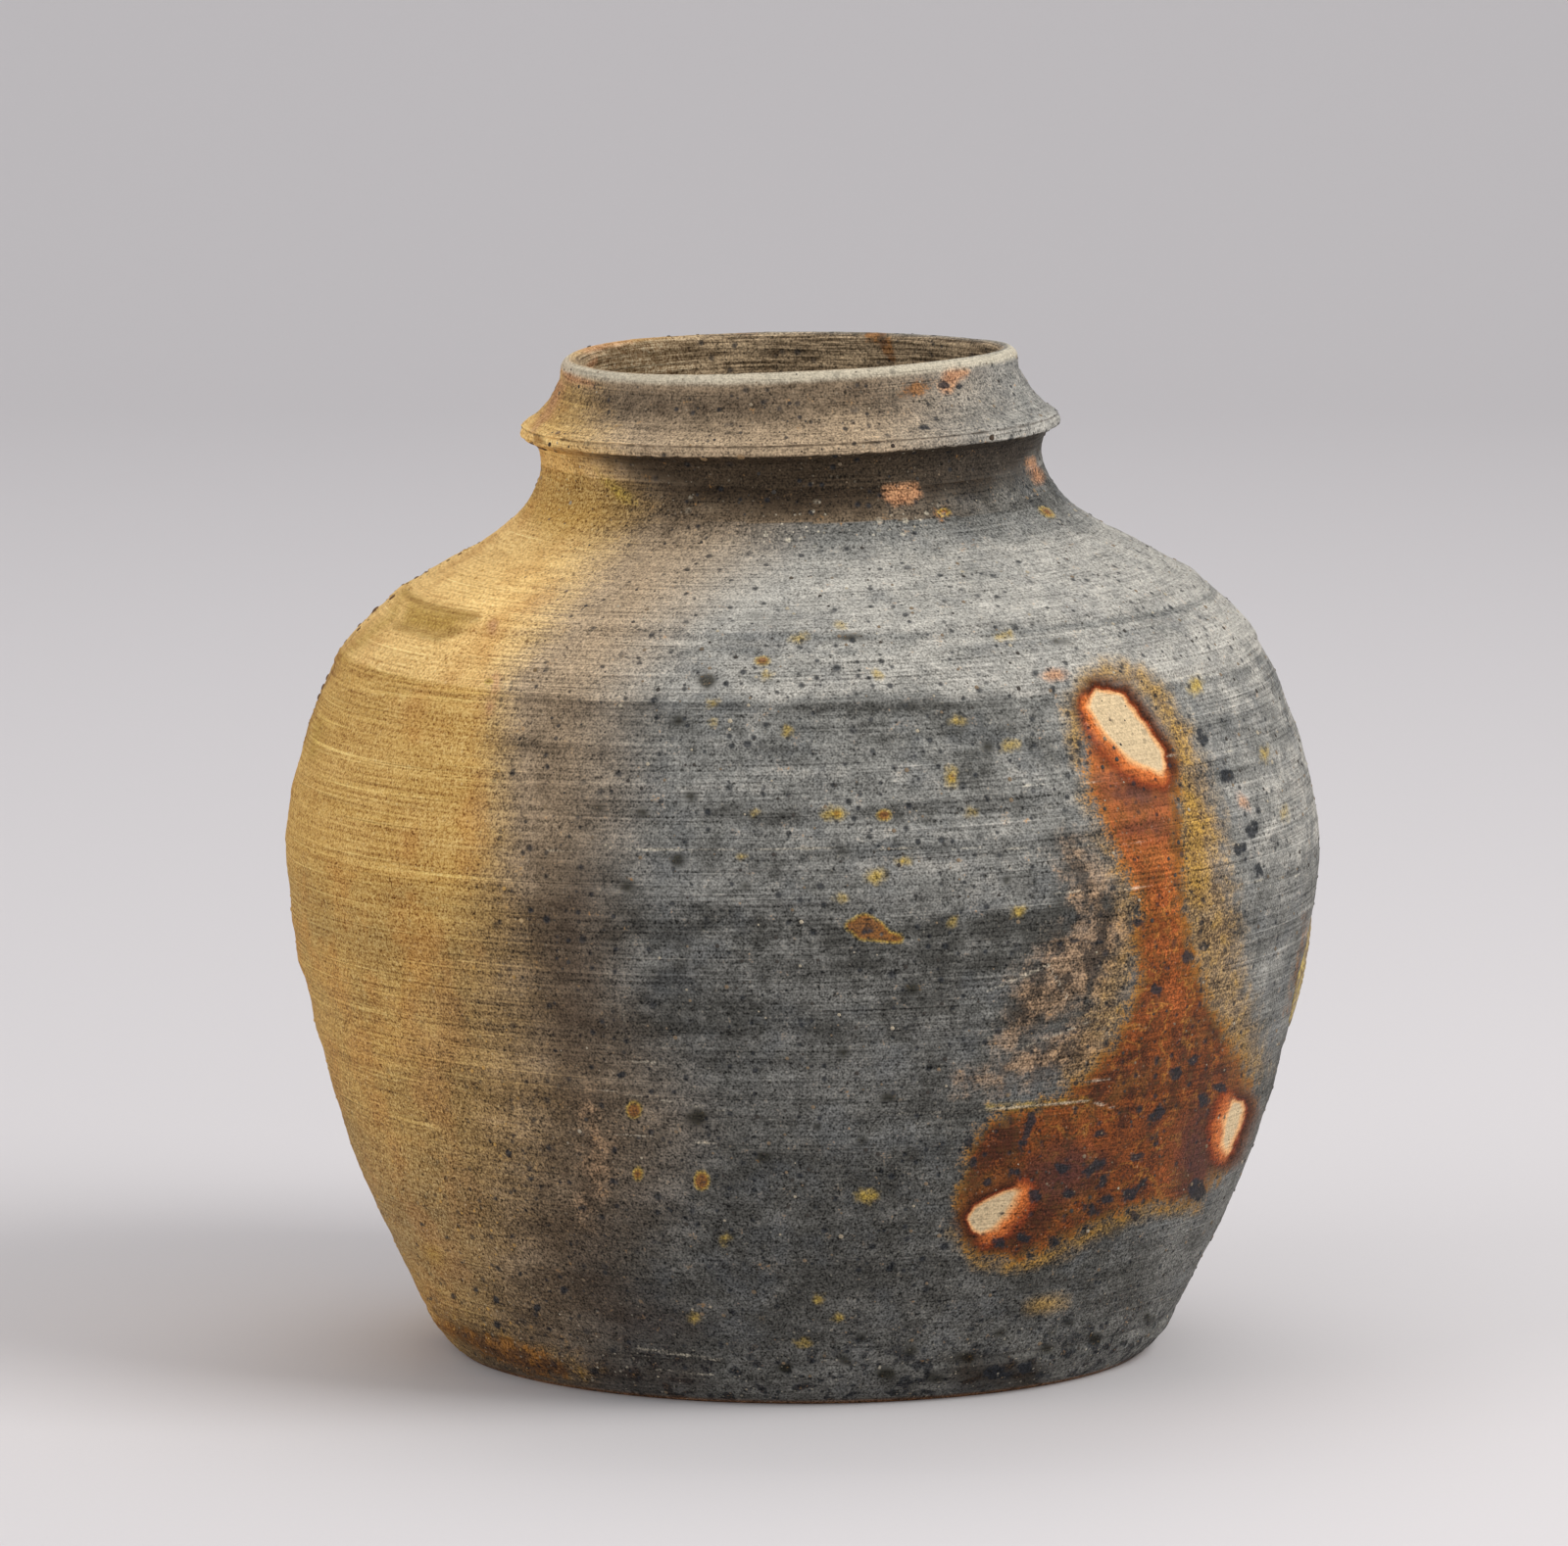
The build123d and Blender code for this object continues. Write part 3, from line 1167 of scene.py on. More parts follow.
BROWN_SPOTS = streaks(
    ((868, 945, 6), (882, 946, 14), (894, 950, 11), (906, 956, 6), (917, 958, 5)),
) + ovals(
    (902, 832, 8, 6), (778, 675, 8, 5), (647, 1133, 8, 9), (716, 1205, 8, 10), (651, 1198, 5, 7),
    (971, 793, 4, 5), (500, 697, 4, 3), (854, 831, 6, 4), (963, 523, 6, 4), (1068, 523, 8, 4, 30),
) + ovals(
    (820, 1010, 18, 10, 5), (420, 1100, 14, 9, -10),
    side=Side.BACK,
)
DARK_SPOTS = ovals(
    (884, 950, 5, 4), (1227, 752, 7, 10, -30), (1252, 793, 9, 8), (1278, 846, 7, 11, 30),
    (1264, 866, 7, 8), (1283, 889, 5, 8), (1228, 966, 7, 6), (1211, 976, 8, 7), (1179, 1009, 7, 6),
    (1161, 941, 7, 5), (1050, 1148, 14, 5, 110), (1043, 1170, 10, 5, 110), (1036, 1196, 9, 6, 40),
    (1008, 1206, 8, 6), (1116, 1192, 17, 6, -35), (1127, 1203, 10, 5, -60), (1090, 1218, 9, 6),
    (1113, 1234, 9, 7, 20), (1130, 1224, 7, 5), (1152, 1219, 9, 7, -30), (1164, 1210, 8, 5, -50),
    (1161, 1181, 9, 6), (1177, 1163, 6, 9), (1180, 1137, 13, 6, -40), (1199, 1095, 7, 7),
    (1217, 1082, 8, 5, -40), (1228, 1122, 6, 10), (1244, 1110, 8, 6), (1221, 1215, 10, 12),
    (1122, 1158, 8, 5), (1083, 1193, 9, 6, 40), (1075, 1267, 10, 6), (1045, 1264, 8, 6),
    (1019, 1268, 8, 6), (988, 1165, 6, 8), (992, 1186, 6, 6), (1055, 1221, 8, 7), (1024, 1238, 5, 4),
    (1000, 1244, 4, 3), (1015, 1401, 13, 9), (1046, 1396, 9, 7), (964, 394, 6, 7), (978, 397, 5, 4),
    (895, 453, 5, 3), (944, 437, 7, 4), (1158, 1241, 7, 6), (519, 1177, 4, 4), (541, 1203, 4, 3),
    (553, 1212, 5, 4), (506, 1223, 3, 3), (480, 1240, 3, 3), (560, 1250, 4, 3), (590, 1270, 4, 4),
    (470, 1290, 4, 3), (485, 1318, 4, 5), (506, 1327, 4, 6), (439, 1325, 4, 3), (463, 1324, 3, 5),
    (508, 1352, 5, 5), (530, 1300, 3, 4), (548, 1335, 4, 4), (612, 1240, 4, 4), (598, 1262, 4, 3),
    (625, 1205, 6, 5), (633, 1098, 6, 5), (590, 1158, 6, 3, 20), (628, 1175, 4, 4), (430, 1250, 3, 3),
    (455, 1265, 3, 3), (522, 1262, 3, 3), (575, 1318, 4, 4),
) + streaks(
    ((1060, 967, 2), (1095, 960, 2), (1135, 963, 2), (1165, 968, 1)),
    ((1084, 1049, 2), (1096, 1052, 3), (1106, 1050, 2)), ((1104, 1036, 2), (1118, 1024, 1)),
) + ovals(
    (640, 1040, 9, 6, 30), (680, 1090, 7, 6), (600, 930, 7, 5), (900, 880, 10, 7), (1120, 980, 9, 7),
    (760, 760, 9, 6),
    side=Side.BACK,
)
SMUDGES = ovals(
    (710, 1140, 12, 10), (722, 697, 11, 8), (770, 628, 7, 3), (868, 651, 12, 3), (692, 878, 9, 7),
    (655, 830, 6, 5), (610, 825, 7, 5), (1080, 655, 10, 3), (1008, 762, 6, 5), (835, 1150, 5, 5),
    (1027, 898, 6, 5), (692, 735, 8, 6), (705, 813, 8, 6), (760, 905, 7, 5), (640, 905, 8, 6),
    (930, 1010, 8, 6), (860, 1075, 7, 6), (905, 1120, 8, 6), (780, 1180, 8, 6), (880, 1165, 7, 6),
    (862, 1388, 9, 6, 20), (905, 1402, 12, 7, 15), (955, 1406, 10, 6), (985, 1386, 11, 7, 10),
    (930, 1378, 8, 5), (1068, 1378, 10, 6, -10), (1118, 1366, 9, 6), (1170, 1345, 8, 6),
    (800, 1396, 10, 6), (1090, 1350, 7, 5), (880, 1366, 7, 5), (1020, 1360, 6, 5),
) + ovals(
    (500, 820, 14, 9), (1050, 860, 12, 9), (700, 620, 12, 7),
    side=Side.BACK,
)
# Painted highlights: white glints on glossy spots of the neck, the flange and the rim.
SPARKLES = streaks(
    ((790, 548, 12), (835, 535, 14), (862, 522, 8)), ((900, 542, 6), (948, 530, 9)),
    ((885, 458, 3), (946, 453, 5)),
) + ovals(
    (694, 506, 9, 8), (708, 345, 12, 4), (835, 455, 5, 4),
)
# Pale drag lines; the long line at about 866 pixels down is a painted highlight along a ridge.
DRAGS_AND_GLINT = streaks(
    ((1085, 741, 1), (1125, 738, 1)), ((1045, 802, 1), (1140, 798, 1)), ((1190, 772, 1), (1268, 766, 1)),
    ((1180, 693, 1), (1235, 688, 1)), ((1260, 902, 1), (1330, 892, 1)), ((1075, 912, 1), (1190, 904, 1)),
    ((1000, 1134, 1.5), (1060, 1128, 2), (1110, 1124, 2), (1136, 1130, 1.5)),
    ((905, 1138, 1), (1000, 1135, 1.5)), ((650, 1376, 1.5), (735, 1388, 1.5)),
    ((670, 1398, 1), (730, 1404, 1)),
    ((560, 868, 1.0), (800, 866, 1.4), (1060, 866, 1.0), (1190, 858, 0.8)),
    ((612, 1112, 1), (740, 1134, 1)), ((620, 1156, 1), (735, 1168, 1)),
    ((1000, 1015, 1), (1070, 985, 2), (1090, 1020, 1.5)),
    ((1040, 1070, 1.2), (1120, 1040, 1.5), (1140, 1070, 1)), ((1108, 1104, 1), (1132, 1101, 1.5)),
    ((640, 1082, 0.8), (740, 1092, 0.8)),
)

# Marks by the name they are stored under, with the softness of their edges in pixels
SOFT_MARKS: dict[str, tuple[Marks, float]] = {
    "soot": (SOOTS_AND_SHADOWS, 22), "char": (CHARS, 34), "flash": (FLASHES, 14), "purple": (PURPLES, 20),
    "glow": (GLOWS, 12), "halo": (HALOS, 13), "smudge": (SMUDGES, 5), "strip": (STRIPS, 18),
    "scuff": (SCUFFS, 24), "olive": (OLIVES, 14), "olive_edge": (OLIVE_EDGES, 7), "pink": (PINKS, 7),
    "rust": (RUSTS, 7), "yellow": (YELLOW_SPOTS, 7), "brown": (BROWN_SPOTS, 4), "dark": (DARK_SPOTS, 3),
    "sparkle": (SPARKLES, 14), "scrape": (DRAGS_AND_GLINT, 2.5),
}


@dataclass(frozen=True)
class Profile:
    """A value that runs straight between stops, each a place and the value there."""

    stops: tuple[tuple[float, float], ...]

    def at(self, places: np.ndarray) -> np.ndarray:
        """Values at places."""
        return np.interp(places, *zip(*self.stops))


@dataclass(frozen=True)
class Ring:
    """A ring round the jar: its level and width in millimetres, and how much it adds."""

    level: float
    width: float
    amount: float

    def at(self, up: np.ndarray) -> np.ndarray:
        """What it adds at heights."""
        return self.amount * bell(self.level, self.width, up)


def between(low: Knot, high: Knot, value: np.ndarray) -> np.ndarray:
    """Rise softly over the low span and fall softly over the high span."""
    return smooth(*low, value) * (1.0 - smooth(*high, value))


# By pixels down the picture: the ash's edge and its softness in pixels, its strength, the taupe
# beside it, and the warmth of the flame
ASH_EDGE = Profile((
    (340, 560), (480, 610), (515, 640), (560, 610), (630, 556), (700, 508), (850, 505), (900, 498),
    (1000, 500), (1150, 505), (1330, 485), (1430, 455)))
ASH_SOFTNESS = Profile(((480, 60), (640, 54), (700, 34), (860, 38), (960, 70), (1100, 120), (1300, 70)))
ASH_STRENGTH = Profile(((880, 1.0), (1020, 0.78), (1200, 0.78), (1300, 0.95)))
TAUPE_REACH = Profile(((480, 220), (640, 150), (800, 140), (1000, 130), (1150, 230), (1300, 160)))
WARMTH = Profile(((780, 1.2), (850, 1.0), (930, 0.5), (1040, 0.05), (1200, 0.0)))

# How pale the clay is: by millimetres above the floor, and across the collar by pixels. The bands up the jar
# hold painted shade just below the shoulder's step at 150 mm and below the ridge at 123 mm; the rings are
# painted shade under the shoulder's ridge, in its groove and under the step
PALENESS_AND_SHADE = Profile((
    (0, 0.3), (20, 0.2), (40, 0.15), (60, 0.25), (76, 0.28), (88, 0.22), (98, 0.20), (108, 0.26),
    (110, 0.29), (111.5, 0.42), (118, 0.46), (122.4, 0.42), (123.2, 0.5), (141, 0.47), (149.7, 0.5),
    (150.6, 0.84), (160, 0.86), (164, 0.92), (176, 0.84), (184, 0.2)))
COLLAR_PALENESS = Profile(((560, 0.62), (700, 0.6), (820, 0.58), (940, 0.58), (1040, 0.62)))
PAINTED_SHADE_RINGS = (Ring(162.6, 0.7, -0.3), Ring(160.2, 0.5, -0.12), Ring(149.2, 0.5, -0.12))

# Rings of the relief, in millimetres
RELIEF_RINGS = (
    Ring(163.6, 1.5, 0.32), Ring(161.2, 0.9, -0.16), Ring(122.8, 0.8, 0.14), Ring(9.2, 0.8, -0.3),
    Ring(3.7, 0.6, -0.2), Ring(199.2, 0.5, -0.3), Ring(209.0, 0.9, -0.22),
)


class Canvas:
    """The points of a piece, and where the picture and the unrolled back see them."""

    FRONT_FADE = (math.radians(87), math.radians(99))
    BACK_FADE = (math.radians(88), math.radians(114))
    BACK_MIDDLE = 800.0
    BACK_SCALE = 525.0
    FLOOR_LINE = 1368.0
    RISE = 4710.0

    def __init__(self, mesh: Mesh, view: PhotoView, sizes: JarSizes) -> None:
        """Measure the points.

        Args:
            mesh: the piece's mesh, with its wheel values stored.
            view: the picture's camera.
            sizes: the jar's sizes.
        """
        place = point_places(mesh)
        self.turn, self.run = numbers(mesh, "turn"), numbers(mesh, "run")
        self.across, self.down = view.pixels(place)
        self.ahead = 1.0 - smooth(*self.FRONT_FADE, np.abs(self.turn))
        self.behind = smooth(*self.BACK_FADE, np.abs(self.turn))
        round_back = np.where(self.turn > 0, self.turn - math.pi, self.turn + math.pi)
        self.back_across = self.BACK_MIDDLE + round_back * self.BACK_SCALE
        self.back_down = self.FLOOR_LINE - place[:, 2] * self.RISE
        self.up = place[:, 2] / MM
        self.leaned = self.up - place[:, 0] / MM * sizes.lean_slope()

    def wrap(self, front: Union[np.ndarray, float], back: Union[np.ndarray, float]) -> np.ndarray:
        """Put a share of the front and one of the back together."""
        return front * (1 - self.behind) + back * self.behind

    def cover(self, marks: Marks, reach: float, at_edge: float = 0.5) -> np.ndarray:
        """Cover of a set of marks.

        Args:
            marks: the marks.
            reach: how far outside its edge a mark ends, in pixels.
            at_edge: cover at the edge, from where it rises on inwards.

        Returns:
            One share of 0 to 1 for each point.
        """
        best = np.zeros(len(self.up))
        for mark in marks:
            x, y, sees = self.across, self.down, self.ahead
            if mark.side is Side.BACK:
                x, y, sees = self.back_across, self.back_down, self.behind
            left, right, top, bottom = mark.box()
            near = (x > left - reach) & (x < right + reach) & (y > top - reach) & (y < bottom + reach)
            near = np.nonzero(near & (sees > 0))[0]
            share = np.clip(at_edge - at_edge * mark.gap(x[near], y[near]) / reach, 0.0, 1.0)
            best[near] = np.maximum(best[near], share * sees[near])
        return best


@dataclass
class KilnMarks:
    """Where ash, soot and flame fell on the jar, with painted shadow under the flange, painted shade under
    the shoulder's step and in the crease and a painted highlight on the lip, and the small relief that goes
    with them.

    Levels and depths are in millimetres, angles in radians, and places across in pixels.
    """

    sizes: JarSizes
    view: PhotoView
    lip_run: float
    scar_reach: float = 60.0
    scar_edge: float = 0.75
    ash_fade: Knot = (math.radians(118), math.radians(160))
    back_taupe: float = math.radians(150)
    neck_level: float = 183.0
    collar_level: float = 190.0
    under_flange: Knot = (196.7, 197.2)
    crease_level: float = 199.2
    shoulder_step: tuple[Knot, Knot] = ((149.5, 150.2), (150.5, 162.0))
    waist_step: tuple[Knot, Knot] = ((109.9, 110.9), (110.9, 120.0))
    flat_side: tuple[Knot, Knot] = ((5.0, 30.0), (100.0, 112.0))
    groove_level: float = 65.2
    bulge_level: float = 104.0
    edge_waves: tuple[Knot, ...] = ((37, 1), (61, 0), (97, 2), (143, 3))
    rim_wave: float = 0.42

    def _ash(self, seen: Canvas) -> np.ndarray:
        """Ash on the left of a soft edge in front, fading out round the back.

        Args:
            seen: the piece's points.

        Returns:
            One share for each point.
        """
        past = ASH_EDGE.at(seen.down) - seen.across
        front = np.clip(0.5 + past / (2 * ASH_SOFTNESS.at(seen.down)), 0.0, 1.0)
        sway = 0.14 * np.sin(seen.up / 19.0) + 0.07 * np.sin(seen.up / 7.0 + 1.0)
        fading = 1.0 - smooth(*self.ash_fade, np.abs(seen.turn) + sway)
        return seen.wrap(front * ASH_STRENGTH.at(seen.down), np.where(seen.turn < 0, fading, 0.0))

    def _taupe(self, seen: Canvas) -> np.ndarray:
        """Warm grey beside the ash, and on the left of the neck and the collar.

        Args:
            seen: the piece's points.

        Returns:
            One share for each point.
        """
        beside = np.abs(seen.across - ASH_EDGE.at(seen.down) - 30)
        front = np.clip(1.15 - beside / TAUPE_REACH.at(seen.down), 0.0, 1.0)
        front = np.where(seen.up > self.neck_level, smooth(1120, 800, seen.across), front)
        return seen.wrap(front, bell(self.back_taupe, 0.35, np.abs(seen.turn)) * (seen.turn < 0))

    def _paleness_with_painted_light(self, seen: Canvas) -> np.ndarray:
        """How pale the clay is, in bands up the jar and on the collar, with painted shade under the
        shoulder's step and ridges and painted light along the right-hand edge.

        Args:
            seen: the piece's points.

        Returns:
            One share for each point.
        """
        across, up = seen.across, seen.up
        collar = COLLAR_PALENESS.at(across) + 0.26 * bell(198.8, 2.0, seen.leaned)
        # Darker in a band just below the lip, on the left and the middle.
        collar = collar - 0.3 * bell(207.0, 2.6, seen.leaned) * smooth(980, 860, across)
        pale = np.where(up > self.collar_level, collar, PALENESS_AND_SHADE.at(up))
        # Painted light: the right-hand edge is made paler, high up and near the floor.
        pale = pale + 0.26 * smooth(1130, 1330, across) * between((55, 90), (150, 170), up)
        pale = pale + 0.2 * smooth(1120, 1220, across) * (1 - smooth(40, 70, up))
        # Rings of painted shade under the shoulder's ridge, in its groove and under its step.
        pale = pale + sum(ring.at(up) for ring in PAINTED_SHADE_RINGS)
        beside = bell(20.0, 40.0, across - ASH_EDGE.at(seen.down)) * (1 - seen.behind) * (up < 150)
        return pale + 0.06 * beside

    def shares(self, mesh: Mesh) -> dict[str, np.ndarray]:
        """Work out every mark on a piece.

        Args:
            mesh: the piece's mesh, with its wheel values stored.

        Returns:
            One array of about 0 to 1 per mark, by name.
        """
        seen = Canvas(mesh, self.view, self.sizes)
        up, ash = seen.up, self._ash(seen)
        shares = {name: seen.cover(marks, soft) for name, (marks, soft) in SOFT_MARKS.items()}
        # The soot and the painted shadow under the flange stop at the flange's underside.
        shares["soot"] = shares["soot"] * (1.0 - smooth(*self.under_flange, seen.leaned))
        return shares | {
            "scar": seen.cover(SCARS, self.scar_reach, self.scar_edge),
            "ash": ash,
            "ash_edge": bell(0.75, 0.35, ash) * (1 - seen.behind),
            "taupe": self._taupe(seen),
            "pale": self._paleness_with_painted_light(seen),
            # Painted shade in the crease on the flange's edge.
            "crease": bell(self.crease_level, 0.4, seen.leaned),
            "warmth": WARMTH.at(seen.down),
            "foot": 1.0 - smooth(5.0, 26.0, up),
            "low": 1.0 - smooth(20.0, 70.0, up),
            "lined": smooth(45.0, 90.0, up) * (1.0 - 0.6 * smooth(148.0, 156.0, up)),
            "lively": seen.wrap(between((60, 112), (150, 158), up) * smooth(560, 720, seen.across), 0.7),
            # Painted highlight: a pale band along the front of the lip's crest.
            "lip": bell(self.lip_run - 1.7, 1.8, seen.run),
            "inner": smooth(self.lip_run - 0.6, self.lip_run + 2.0, seen.run),
            "bare": 1.0 - smooth(0.2, 1.2, up),
        }

    def press(self, mesh: Mesh, marks: dict[str, np.ndarray]) -> None:
        """Move the skin by the small relief: rings, steps, dents, scars and drops of glass.

        Args:
            mesh: the piece's mesh.
            marks: the marks' shares by name.
        """
        place = point_places(mesh)
        turn, skin, slant = (numbers(mesh, name) for name in ("turn", "skin", "slant"))
        leaning = place[:, 2] > self.sizes.waist_level * MM
        up = (place[:, 2] - place[:, 0] * self.sizes.lean_slope() * leaning) / MM
        left, right = bell(-QUARTER, 0.6, turn), bell(QUARTER, 0.6, turn)
        depth = sum(ring.at(up) for ring in RELIEF_RINGS)
        depth += 0.42 * between(*self.shoulder_step, up) + 0.18 * between(*self.waist_step, up)
        depth -= 0.35 * bell(self.groove_level, 1.0, up) * (0.25 + 0.75 * bell(0.5, 0.5, turn))
        depth += left * (0.6 * smooth(80.0, 84.0, up) - 0.6) * between(*self.flat_side, up)
        depth += right * 0.8 * bell(self.bulge_level, 9.0, up)
        depth -= 0.30 * smooth(0.72, 0.85, marks["scar"]) - 0.22 * bell(0.66, 0.06, marks["scar"])
        depth += 0.25 * smooth(0.4, 0.9, marks["yellow"]) + 0.3 * smooth(0.4, 0.9, marks["brown"])
        depth += 0.16 * marks["olive"] + 0.1 * marks["flash"]
        crumbs = sum(np.sin(count * turn + start) for count, start in self.edge_waves)
        depth += crumbs * (0.1 * bell(197.8, 1.0, up) + 0.05 * bell(211.5, 1.5, up))
        depth *= smooth(0.6, 0.9, skin)
        flat = place[:, :2] / np.maximum(np.linalg.norm(place[:, :2], axis=1), 1e-6)[:, None]
        normal = np.concatenate([flat * np.cos(slant)[:, None], np.sin(slant)[:, None]], axis=1)
        place = place + normal * (depth * MM)[:, None]
        place[:, 2] += smooth(196.0, 206.0, up) * self.rim_wave * MM * np.sin(2 * turn)
        place[:, 2] = np.maximum(place[:, 2], 0.0)
        mesh.vertices.foreach_set("co", place.ravel())
        mesh.update()

    def lay(self, piece: Object) -> None:
        """Press the marks' relief into a piece and store the marks on it.

        Args:
            piece: the turned piece.
        """
        marks = self.shares(piece.data)
        self.press(piece.data, marks)
        store_numbers(piece.data, marks)


# Finishes


@dataclass(frozen=True)
class Edge:
    """How a mark shows: where its cover starts and is full, how ragged, sandy and strong it is."""

    start: float
    full: float
    ragged: float
    sandy: float
    strength: float = 1.0


EDGES = {
    "smudge": Edge(0.3, 1.0, 1.3, 0.35, 0.85),
    "olive": Edge(0.15, 0.95, 0.3, 0.1, 0.85),
    "olive_edge": Edge(0.15, 1.0, 0.3, 0.1, 0.75),
    "char": Edge(0.05, 1.0, 0.3, 0.2),
    "soot": Edge(0.1, 0.8, 0.5, 0.2, 0.88),
    "strip": Edge(0.1, 1.0, 0.9, 0.12, 0.75),
    "halo": Edge(0.15, 1.0, 0.8, 0.1, 0.75),
    "scuff": Edge(0.15, 1.0, 1.2, 0.1, 0.75),
    "purple": Edge(0.1, 0.9, 0.7, 0.1, 0.85),
    "flash": Edge(0.25, 0.75, 1.3, 0.3),
    "rust": Edge(0.3, 0.95, 1.5, 0.3, 0.75),
    "pink": Edge(0.25, 0.9, 0.6, 0.12, 0.75),
    "brown": Edge(0.25, 0.75, 0.3, 0.1),
    "crease": Edge(0.5, 1.2, 2.4, 0.3, 0.7),
    "lip": Edge(0.2, 0.9, 0.3, 0.05, 0.78),
    "scrape": Edge(0.35, 1.0, 0.8, 0.15, 0.65),
}
FLASH_HEART = Edge(0.5, 1.0, 1.2, 0.3)


@dataclass(frozen=True)
class Specks:
    """Scattered specks: cells per metre, largest radius and start of the fade in cells, and a shift."""

    scale: float
    size: float
    soft: float
    shift: tuple[float, float, float] | None = None


PEPPER = Specks(270.0, 0.32, 0.45)
SPOTS = Specks(150.0, 0.36, 0.35, (0.21, 0.47, 0.13))
POINTS = Specks(420.0, 0.38, 0.4)
SALT = Specks(800.0, 0.32, 0.5, (0.37, 0.11, 0.53))
GLINTS = Specks(380.0, 0.4, 0.5, (0.71, 0.29, 0.17))


class ClaySkin:
    """The noises that the layers of the clay share, and the brushes that lay marks on it."""

    def __init__(self, board: Board, grit_size: float, grain_size: float) -> None:
        """Wire the noises.

        Args:
            board: the material's node tree.
            grit_size: size of the finest grains in metres.
            grain_size: size of the grains in metres.
        """
        self.board = board
        self.mark = board.attribute
        self.place = place = board.place()
        x, y, _ = board.split(place)
        self.out_x, self.out_y, _ = board.split(board.vector("NORMALIZE", board.join(x, y, 0.0)))
        self.run = self.mark("run")
        self.drag = self.lines(1.1, 2.4, 1.0)
        self.fine = self.lines(0.5, 4.0, 1.0)
        self.band = self.lines(8.0, 1.6, 2.0)
        self.drift = self.lines(5.0, 9.0, 3.0)
        combed = board.step(self.lines(12.0, 2.2, 1.0), 0.38, 0.62)
        self.comb = board.math("SINE", self.run * (2 * math.pi / 1.13) + (self.band - 0.5) * 22.0) * combed
        self.ridge = board.step(self.lines(0.5, 1.8, 0.0), 0.66, 0.8)
        self.groove = 1.0 - board.step(self.lines(0.6, 1.5, 0.0), 0.2, 0.34)
        self.grit = board.noise(place, 1.0 / grit_size, 0.0)
        self.grain = board.noise(place, 1.0 / grain_size, 1.0, 0.5)
        self.sand = board.noise(place, 0.4 / grain_size, 2.0, 0.6)
        self.clump = board.noise(place, 330.0, 3.0, 0.6)
        self.frost = board.noise(place, 150.0, 3.0, 0.6)
        self.mottle = board.noise(place, 48.0, 4.0, 0.6)
        self.texture = (self.grit - 0.5) * 1.7 + (self.grain - 0.5) * 1.2 + (self.sand - 0.5) * 0.5
        self.streak = ((self.drag - 0.5) * 0.4 + (self.fine - 0.5) * 0.8 + self.comb * 0.08
                       + self.ridge * 0.26 - self.groove * 0.14)
        self.granular = board.step(self.texture * 0.45 + (self.clump - 0.5) * 1.4, -0.45, 0.45)

    def lines(self, pitch: float, reach: float, detail: float) -> Wire:
        """Streaks that run round the jar, with a pitch in millimetres."""
        place = self.board.join(self.out_x * reach, self.out_y * reach, self.run / pitch)
        return self.board.noise(place, 1.0, detail, 0.6)

    def cover(self, name: str, edge: Edge | None = None) -> Wire:
        """Cover of a mark with a ragged, sandy edge.

        Args:
            name: the mark.
            edge: its edge, where that isn't the one in the table.

        Returns:
            The cover.
        """
        edge = edge or EDGES[name]
        share = self.mark(name) + (self.clump - 0.5) * edge.ragged + self.texture * edge.sandy
        return self.board.step(share, edge.start, edge.full)

    def lay(self, colour: Wire, name: str, paint: Value) -> Wire:
        """Lay a mark's paint over a colour."""
        return self.board.mix(self.cover(name) * EDGES[name].strength, colour, paint)

    def blot(self, name: str, start: float, full: float, ragged: float) -> Wire:
        """Cover of small spots of uneven shape."""
        share = self.mark(name) + (self.sand - 0.5) * ragged + (self.clump - 0.5) * 0.5
        return self.board.step(share, start, full)

    def specks(self, kind: Specks) -> Wire:
        """Cover of scattered specks of uneven size.

        Args:
            kind: the specks' sizes.

        Returns:
            The cover.
        """
        place = self.board.vector("ADD", self.place, kind.shift) if kind.shift else self.place
        inputs = {"Vector": place, "Scale": kind.scale, "Randomness": 1.0}
        cell = self.board.node("ShaderNodeTexVoronoi", {"feature": "F1"}, inputs)
        chance, spread, _ = self.board.split(Wire(self.board, cell.socket.node.outputs["Color"]))
        radius = self.board.step(chance, 0.2, 1.0) * (0.5 + spread * 0.5) * kind.size + 0.001
        return 1.0 - self.board.step(cell / radius, kind.soft, 1.2)


